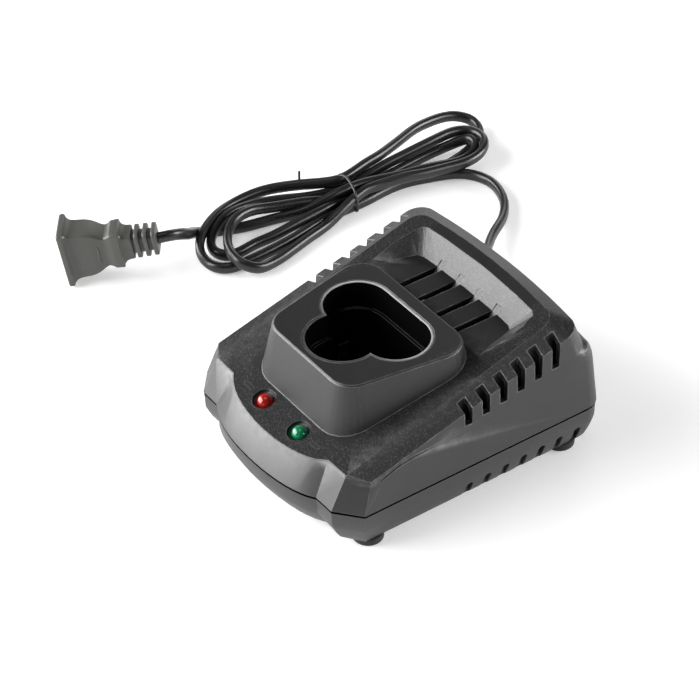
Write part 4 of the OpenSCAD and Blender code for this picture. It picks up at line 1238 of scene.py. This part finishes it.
@dataclass
class Plug:
    """Moulded plug with a flange at its nose, and a ribbed tail. Sizes are in millimetres.

    Each ring of the body and of a rib is its distance from the start, its longer side, its shorter side,
    and the radius of its corners. The body is smooth within a stretch of rings and crisp between two.
    """

    nose: Point = (-138.65, -43.55, 11.6)
    turn: float = 53.3
    pitch: float = 10.0
    corner_steps: int = 6
    rib_first: float = 26.5
    rib_pitch: float = 3.1
    rib_shrink: float = 0.013
    ribs: int = 3
    rib_rings: tuple[tuple[float, ...], ...] = (
        (0.0, 6.8, 5.6, 1.6), (0.02, 9.6, 8.2, 1.6), (0.12, 10.2, 8.8, 1.8), (0.3, 10.4, 9.0, 1.9),
        (1.35, 10.4, 9.0, 1.9), (1.53, 10.2, 8.8, 1.8), (1.63, 9.6, 8.2, 1.6), (1.65, 6.8, 5.6, 1.6))
    ridge_line: tuple[Point, ...] = (
        (-3.3, 0, 12.3), (-2.6, 0, 13.0), (-1.4, 0, 13.2), (0.2, 0, 13.1), (1.9, 0, 12.9), (3.4, 0, 12.9),
        (4.5, 0, 13.5))
    ridge_base: float = -4.75
    ridge_rise: float = 0.65
    ridge_half: float = 0.5
    ridge_steps: int = 6
    stations: tuple[tuple[tuple[float, ...], ...], ...] = (
        ((0, 22.2, 14.2, 0.9), (0.4, 22.8, 14.8, 1.2)),
        ((0.4, 22.8, 14.8, 1.2), (1.9, 22.8, 14.8, 1.2)),
        ((1.9, 22.8, 14.8, 1.2), (2.4, 21.2, 13.1, 1.2), (3.4, 19.8, 11.6, 1.1), (5, 19, 10.9, 1.0),
         (8.5, 18.5, 10.7, 1.0), (11, 17.4, 10.4, 1.0), (13, 15.4, 10, 1.0), (14.5, 13.4, 9.7, 1.0),
         (15.9, 12.3, 9.6, 1.0)),
        ((15.9, 12.3, 9.6, 1.0), (17, 13, 10, 1.0), (18.2, 14.4, 10.7, 1.0)),
        ((18.2, 14.4, 10.7, 1.0), (21.2, 14.8, 10.9, 1.0)),
        ((21.2, 14.8, 10.9, 1.0), (21.6, 12.6, 9.6, 1.3), (23, 10.9, 8.8, 1.5), (25.4, 10.5, 8.5, 1.6)),
        ((25.4, 10.5, 8.5, 1.6), (25.6, 7.6, 6.4, 1.8)),
        ((25.6, 7.6, 6.4, 1.8), (34.2, 7.2, 6.0, 1.8)),
    )

    def place(self) -> Matrix:
        """Return the matrix that sets the plug down, from along +Z at the origin."""
        return (Matrix.Translation(Vector(self.nose) * MM) @ Matrix.Rotation(math.radians(self.turn), 4, "Z")
                @ Matrix.Rotation(math.radians(90 - self.pitch), 4, "Y"))

    def ring(self, at: float, height: float, width: float, corner: float) -> list[Point]:
        """Return one rounded-square ring of the plug.

        Args:
            at: Distance from the nose.
            height: The ring's longer side.
            width: The ring's shorter side.
            corner: Radius of its corners.

        Returns:
            The ring's points.
        """
        points = []
        for quarter, (sx, sy) in enumerate(((1, 1), (-1, 1), (-1, -1), (1, -1))):
            for j in range(self.corner_steps):
                a = math.pi / 2 * (quarter + j / (self.corner_steps - 1))
                points.append((sx * (height / 2 - corner) + corner * math.cos(a),
                               sy * (width / 2 - corner) + corner * math.sin(a), at))
        return points

    def body(self) -> bpy.types.Object:
        """Loft the plug's body, smooth within each stretch and crisp between them.

        Returns:
            The body, set down in its place.
        """
        rings = []
        for stretch in self.stations:
            steps = 1 if len(stretch) == 2 else 4
            for n in range(len(stretch) - 1):
                knots = [stretch[min(max(n + o, 0), len(stretch) - 1)] for o in (-1, 0, 1, 2)]
                rings.extend([between(*four, i / steps) for four in zip(*knots)] for i in range(steps))
        rings.append(self.stations[-1][-1])
        body = soften(skin("plug_moulding", [self.ring(*r) for r in rings]), 0.12, 2, 24.0)
        body.data.transform(self.place())
        return dress(smooth(body, 34.0), Paint.PLUG, ("plug_body",))

    def tail(self) -> bpy.types.Object:
        """Repeat one rib along the plug's tail.

        Returns:
            The ribs, as one piece.
        """
        rib = smooth(skin("rib", [self.ring(*r) for r in self.rib_rings]), 30.0)
        ribs = Repeats.run("plug_tail_ribs", Repeats.row(), {
            "Piece": rib, "Count": self.ribs, "Start": (0, 0, self.rib_first * MM),
            "Step": (0, 0, self.rib_pitch * MM), "Shrink": self.rib_shrink,
            "Material": Paint.PLUG.material})
        ribs.data.transform(self.place())
        return dress(ribs, Paint.PLUG)

    def grip_mark(self) -> bpy.types.Object:
        """Raise the curved finger ridge on the plug's broad side.

        Returns:
            The ridge.
        """
        spots = spline_through(self.ridge_line, 0.5)
        angles = [math.pi * j / self.ridge_steps for j in range(self.ridge_steps + 1)]
        rings = []
        for i, spot in enumerate(spots):
            rise = self.ridge_rise * math.sin(math.pi * i / (len(spots) - 1)) ** 0.35
            rings.append([(spot.x, self.ridge_base - rise * math.sin(a),
                           spot.z - self.ridge_half * math.cos(a)) for a in angles])
        ridge = skin("plug_grip_ridge", rings)
        ridge.data.transform(self.place())
        return dress(smooth(ridge, 60.0), Paint.PLUG)

    def build(self) -> list[bpy.types.Object]:
        """Make the whole plug and return its pieces."""
        return [self.body(), self.tail(), self.grip_mark()]


@dataclass
class StrainRelief:
    """Tapered, ribbed sleeve where the cord leaves the housing. Sizes are in millimetres."""

    route: tuple[Point, ...] = ((-28, 57.6, 12), (-28.1, 60, 12), (-28.8, 63.5, 11.9), (-30.4, 67, 11.7),
                                (-33, 70.3, 11.3), (-36.3, 73, 10.8), (-39.5, 75.2, 10.2))
    thick: float = 3.15
    thin: float = 2.5
    rib_rise: float = 0.26
    ribs: int = 8

    def build(self) -> bpy.types.Object:
        """Make the relief with its rings, over the CAD sleeve.

        Returns:
            The relief.
        """
        line = spline_through(self.route, 0.35)
        scales = []
        for i in range(len(line)):
            t = i / (len(line) - 1)
            rib = self.rib_rise * max(0.0, math.sin(math.tau * self.ribs * t)) ** 0.5
            scales.append(self.thick + (self.thin - self.thick) * t - self.rib_rise + rib)
        sleeve = smooth(sweep("strain_relief_sleeve", line, round_outline(1.0, 24), scales), 50.0)
        return dress(sleeve, Paint.RELIEF)


# ---- Housing ----
@dataclass
class Housing:
    """Upper and lower shell, the feet, and the screws."""

    feet: tuple[tuple[str, Point], ...] = (
        ("foot_front_left", (1.8, 1.8, 0)), ("foot_front_right", (-1.8, 1.8, 0)),
        ("foot_rear_left", (1.8, -1.0, 0)), ("foot_rear_right", (-1.8, -1.0, 0)))

    def shell(self, node: str, name: str, paint: Paint, slot: str) -> bpy.types.Object:
        """Dress one shell, with the CAD node's own shape and rounded edges.

        Args:
            node: The CAD node.
            name: The new piece's name.
            paint: Its finish.
            slot: Not used.

        Returns:
            The shell.
        """
        shell = merged_copy(node, name)
        return dress(smooth(shell, 24.0), paint, (node,))

    def build(self) -> None:
        """Make both shells and the feet."""
        self.shell("top_cover", "upper_shell", Paint.UPPER, "upper_plastic")
        self.shell("bottom_cover", "lower_shell", Paint.LOWER, "lower_plastic")
        for node, shift in self.feet:
            foot = soften(merged_copy(node, node + "_pad"), 0.3)
            foot.data.transform(Matrix.Translation(Vector(shift) * MM))
            dress(smooth(foot, 40.0), Paint.FOOT, (node,))
        screws = merged_copy("housing_screws", "housing_screw_set")
        dress(smooth(screws, 40.0), Paint.SCREW, ("housing_screws",))


@dataclass
class BatteryWell:
    """Glossy three-lobed well with the contacts at its floor."""

    def build(self) -> None:
        """Make the well, its terminal block, and its contacts."""
        well = soften(merged_copy("battery_well", "battery_well_liner", 0.2), 0.3, 2, 40.0)
        dress(smooth(well, 30.0), Paint.WELL, ("battery_well",))
        block = merged_copy("terminal_block", "terminal_block_body")
        dress(smooth(soften(block, 0.25), 30.0), Paint.TERMINAL, ("terminal_block",))
        for node in ("contact_positive", "contact_negative", "contact_thermistor"):
            leaf = merged_copy(node, node + "_leaf", 0.0)
            dress(smooth(leaf, 30.0), Paint.CONTACT, (node,))


@dataclass
class Lamps:
    """Red and green lamp, each with painted shade lining its countersink and a battery mark beside it. Sizes
    are in millimetres.
    """

    deck: Point = (0.0, -44.6, 29.95)
    slope: float = 16.64
    apart: float = 9.8
    radius: float = 2.75
    centre: float = -1.45
    foot: float = -8.5
    shade_lining_outer: float = 4.25
    shade_lining_inner: float = 2.95
    mark_x: float = 18.5
    mark_size: tuple[float, float] = (4.2, 1.7)
    mark_line: float = 0.2
    mark_sunk: float = -0.1
    mark_inset: float = 0.04

    def place(self, x: float) -> Matrix:
        """Return the matrix that sets a piece on the sloping deck, at x from the middle."""
        return (Matrix.Translation((Vector(self.deck) + Vector((x, 0, 0))) * MM)
                @ Matrix.Rotation(math.radians(self.slope), 4, "X"))

    def lens(self, node: str, side: int, paint: Paint, slot: str) -> None:
        """Turn one lens: a dome on a straight foot.

        Args:
            node: The CAD node that it replaces.
            side: -1 for the left lamp and 1 for the right one.
            paint: Its finish.
            slot: Not used.
        """
        dome = [(self.radius * math.cos(a), self.centre + self.radius * math.sin(a))
                for a in (math.pi / 2 * i / 14 for i in range(15))]
        lens = revolve(node + "_lens", [(0, self.foot), (self.radius, self.foot), *dome[:-1],
                                        (0, self.centre + self.radius)], 48)
        lens.data.transform(self.place(side * self.apart))
        dress(smooth(lens, 40.0), paint, (node,))

    def shade_lining(self, name: str, side: int) -> None:
        """Line the countersink round one lamp with painted shade, a near-black ring with a painted highlight
        on its rim.

        Args:
            name: The new piece's name.
            side: -1 for the left lamp and 1 for the right one.
        """
        # Painted shade: this ring is near-black where the countersink lies in shade.
        outer, inner, wall = self.shade_lining_outer, self.shade_lining_inner, 0.1
        ring = revolve(name, [(outer, 0.06), (outer - 0.22, 0.02), (inner, -1.34), (inner, -6.0),
                              (inner + wall, -6.0), (inner + wall, -1.5), (outer + wall, -0.06)], 56)
        ring.data.transform(self.place(side * self.apart))
        dress(smooth(ring, 25.0), Paint.BEZEL)

    def plates(self, name: str, side: int, plates: Sequence[tuple[float, float, float, float]], top: float,
               paint: Paint) -> None:
        """Lay thin rectangular plates on the deck as one piece.

        Args:
            name: The new piece's name.
            side: -1 for the left mark and 1 for the right one.
            plates: Left, front, right and rear of each plate, from the mark's middle.
            top: Height of the plates above the deck.
            paint: Their finish.
        """
        points, faces = [], []
        box = ((3, 2, 1, 0), (4, 5, 6, 7), (0, 1, 5, 4), (1, 2, 6, 5), (2, 3, 7, 6), (3, 0, 4, 7))
        for x0, y0, x1, y1 in plates:
            faces += [[len(points) + k for k in face] for face in box]
            for inset, z in ((0.0, self.mark_sunk), (self.mark_inset, top)):
                points += [(x0 + inset, y0 + inset, z), (x1 - inset, y0 + inset, z),
                           (x1 - inset, y1 - inset, z), (x0 + inset, y1 - inset, z)]
        piece = mesh_object(name, points, faces)
        piece.data.transform(self.place(side * self.mark_x))
        dress(piece, paint)

    def mark(self, name: str, side: int, level: tuple[float, float]) -> None:
        """Cast a battery outline with its level beside a lamp.

        Args:
            name: First part of the pieces' names.
            side: -1 for the left mark and 1 for the right one.
            level: Left and right end of the filled part, from the mark's middle.
        """
        x, y, t = self.mark_size[0] / 2, self.mark_size[1] / 2, self.mark_line
        rim = [(-x, -y, x, t - y), (-x, y - t, x, y), (-x, t - y, t - x, y - t), (x - t, t - y, x, y - t)]
        nub = (x, -0.45, x + 0.5, 0.45) if side > 0 else (-x - 0.5, -0.45, -x, 0.45)
        self.plates(name + "_outline", side, [*rim, nub], 0.05, Paint.MARK_EDGE)
        self.plates(name + "_level", side, [(level[0], t - y, level[1], y - t)], 0.03, Paint.MARK)

    def build(self) -> None:
        """Make both lamps and both marks."""
        for side, node, paint, slot in ((-1, "led_red", Paint.RED, "red_lens"),
                                        (1, "led_green", Paint.GREEN, "green_lens")):
            self.lens(node, side, paint, slot)
            self.shade_lining(node + "_bezel", side)
        half = self.mark_size[0] / 2 - self.mark_line
        self.mark("charging_mark", -1, (-half + 0.3, 0.2))
        self.mark("charged_mark", 1, (-half, half))


@dataclass
class Electronics:
    """Boards and parts inside the housing. Sizes are in millimetres."""

    plain: tuple[tuple[str, Paint], ...] = (
        ("led_board", Paint.BOARD), ("led_wires", Paint.WIRE), ("circuit_board", Paint.BOARD),
        ("transformer_core", Paint.FERRITE), ("transformer_winding", Paint.TAPE),
        ("input_capacitor", Paint.CAN), ("output_capacitors", Paint.CAN), ("safety_capacitor", Paint.YELLOW),
        ("emi_choke", Paint.FERRITE), ("bridge_rectifier", Paint.BLACK_CASE),
        ("switching_transistor", Paint.BLACK_CASE), ("heat_sink", Paint.SINK), ("fuse", Paint.FUSE),
        ("optocoupler", Paint.WHITE_CASE), ("cord_clamp", Paint.CLAMP), ("clamp_screws", Paint.SCREW),
        ("mains_wires", Paint.CORD), ("strain_relief", Paint.RELIEF))
    turns: int = 16
    turn_ring: float = 4.0
    turn_radius: float = 1.9
    turn_wire: float = 0.33
    turn_sunk: float = 1.6
    joint_rim: float = 4.5
    joint_gap: float = 4.2
    joint_profile: tuple[tuple[float, float], ...] = (
        (0, 0.05), (0.75, 0.05), (0.6, -0.12), (0.34, -0.4), (0.18, -0.8), (0, -0.85))

    def choke_turns(self) -> None:
        """Wind the choke with one turn after another."""
        lo, hi = node_box("emi_choke")
        loop = [Vector((x, 0, z)) for x, z in round_outline(self.turn_radius, 20)]
        turn = smooth(sweep("choke_turn", loop, round_outline(self.turn_wire, 8), closed=True), 60.0)
        centre = ((lo.x + hi.x) / 2, (lo.y + hi.y) / 2, hi.z - self.turn_sunk * MM)
        turns = Repeats.run("choke_turns", Repeats.ring(), {
            "Piece": turn, "Count": self.turns, "Centre": centre, "Radius": self.turn_ring * MM,
            "Material": Paint.COPPER.material})
        dress(turns, Paint.COPPER)

    def solder_joints(self) -> None:
        """Scatter solder joints over the underside of the main board."""
        lo, hi = (v / MM for v in node_box("circuit_board"))
        left, right = lo.x + self.joint_rim, hi.x - self.joint_rim
        front, rear = lo.y + self.joint_rim, hi.y - self.joint_rim
        corners = [(left, front, lo.z), (left, rear, lo.z), (right, rear, lo.z), (right, front, lo.z)]
        ground = mesh_object("joint_ground", corners, [(0, 1, 2, 3)])
        joint = smooth(revolve("joint", self.joint_profile, 14), 50.0)
        joints = Repeats.run("solder_joints", Repeats.scatter(), {
            "Piece": joint, "Ground": ground, "Distance": self.joint_gap * MM, "Seed": 11,
            "Material": Paint.SOLDER.material})
        dress(joints, Paint.SOLDER)

    def build(self) -> None:
        """Give each hidden part its finish, and add what repeats on them."""
        for node, paint in self.plain:
            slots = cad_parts[node].data.materials
            slots.clear()
            slots.append(paint.material)
            LOG.info("%s: %s", node, paint.value.name)
        self.choke_turns()
        self.solder_joints()


def main() -> None:
    """Build the charger, piece by piece."""
    logging.basicConfig(level=logging.INFO, format="%(name)s: %(message)s")
    Studio().build()
    plug = Plug().build()
    relief = StrainRelief().build()
    MainsCord().build(plug[0], relief, [*plug[1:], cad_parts["strain_relief"]])
    Housing().build()
    BatteryWell().build()
    Lamps().build()
    Electronics().build()


if __name__ == "__main__":
    main()
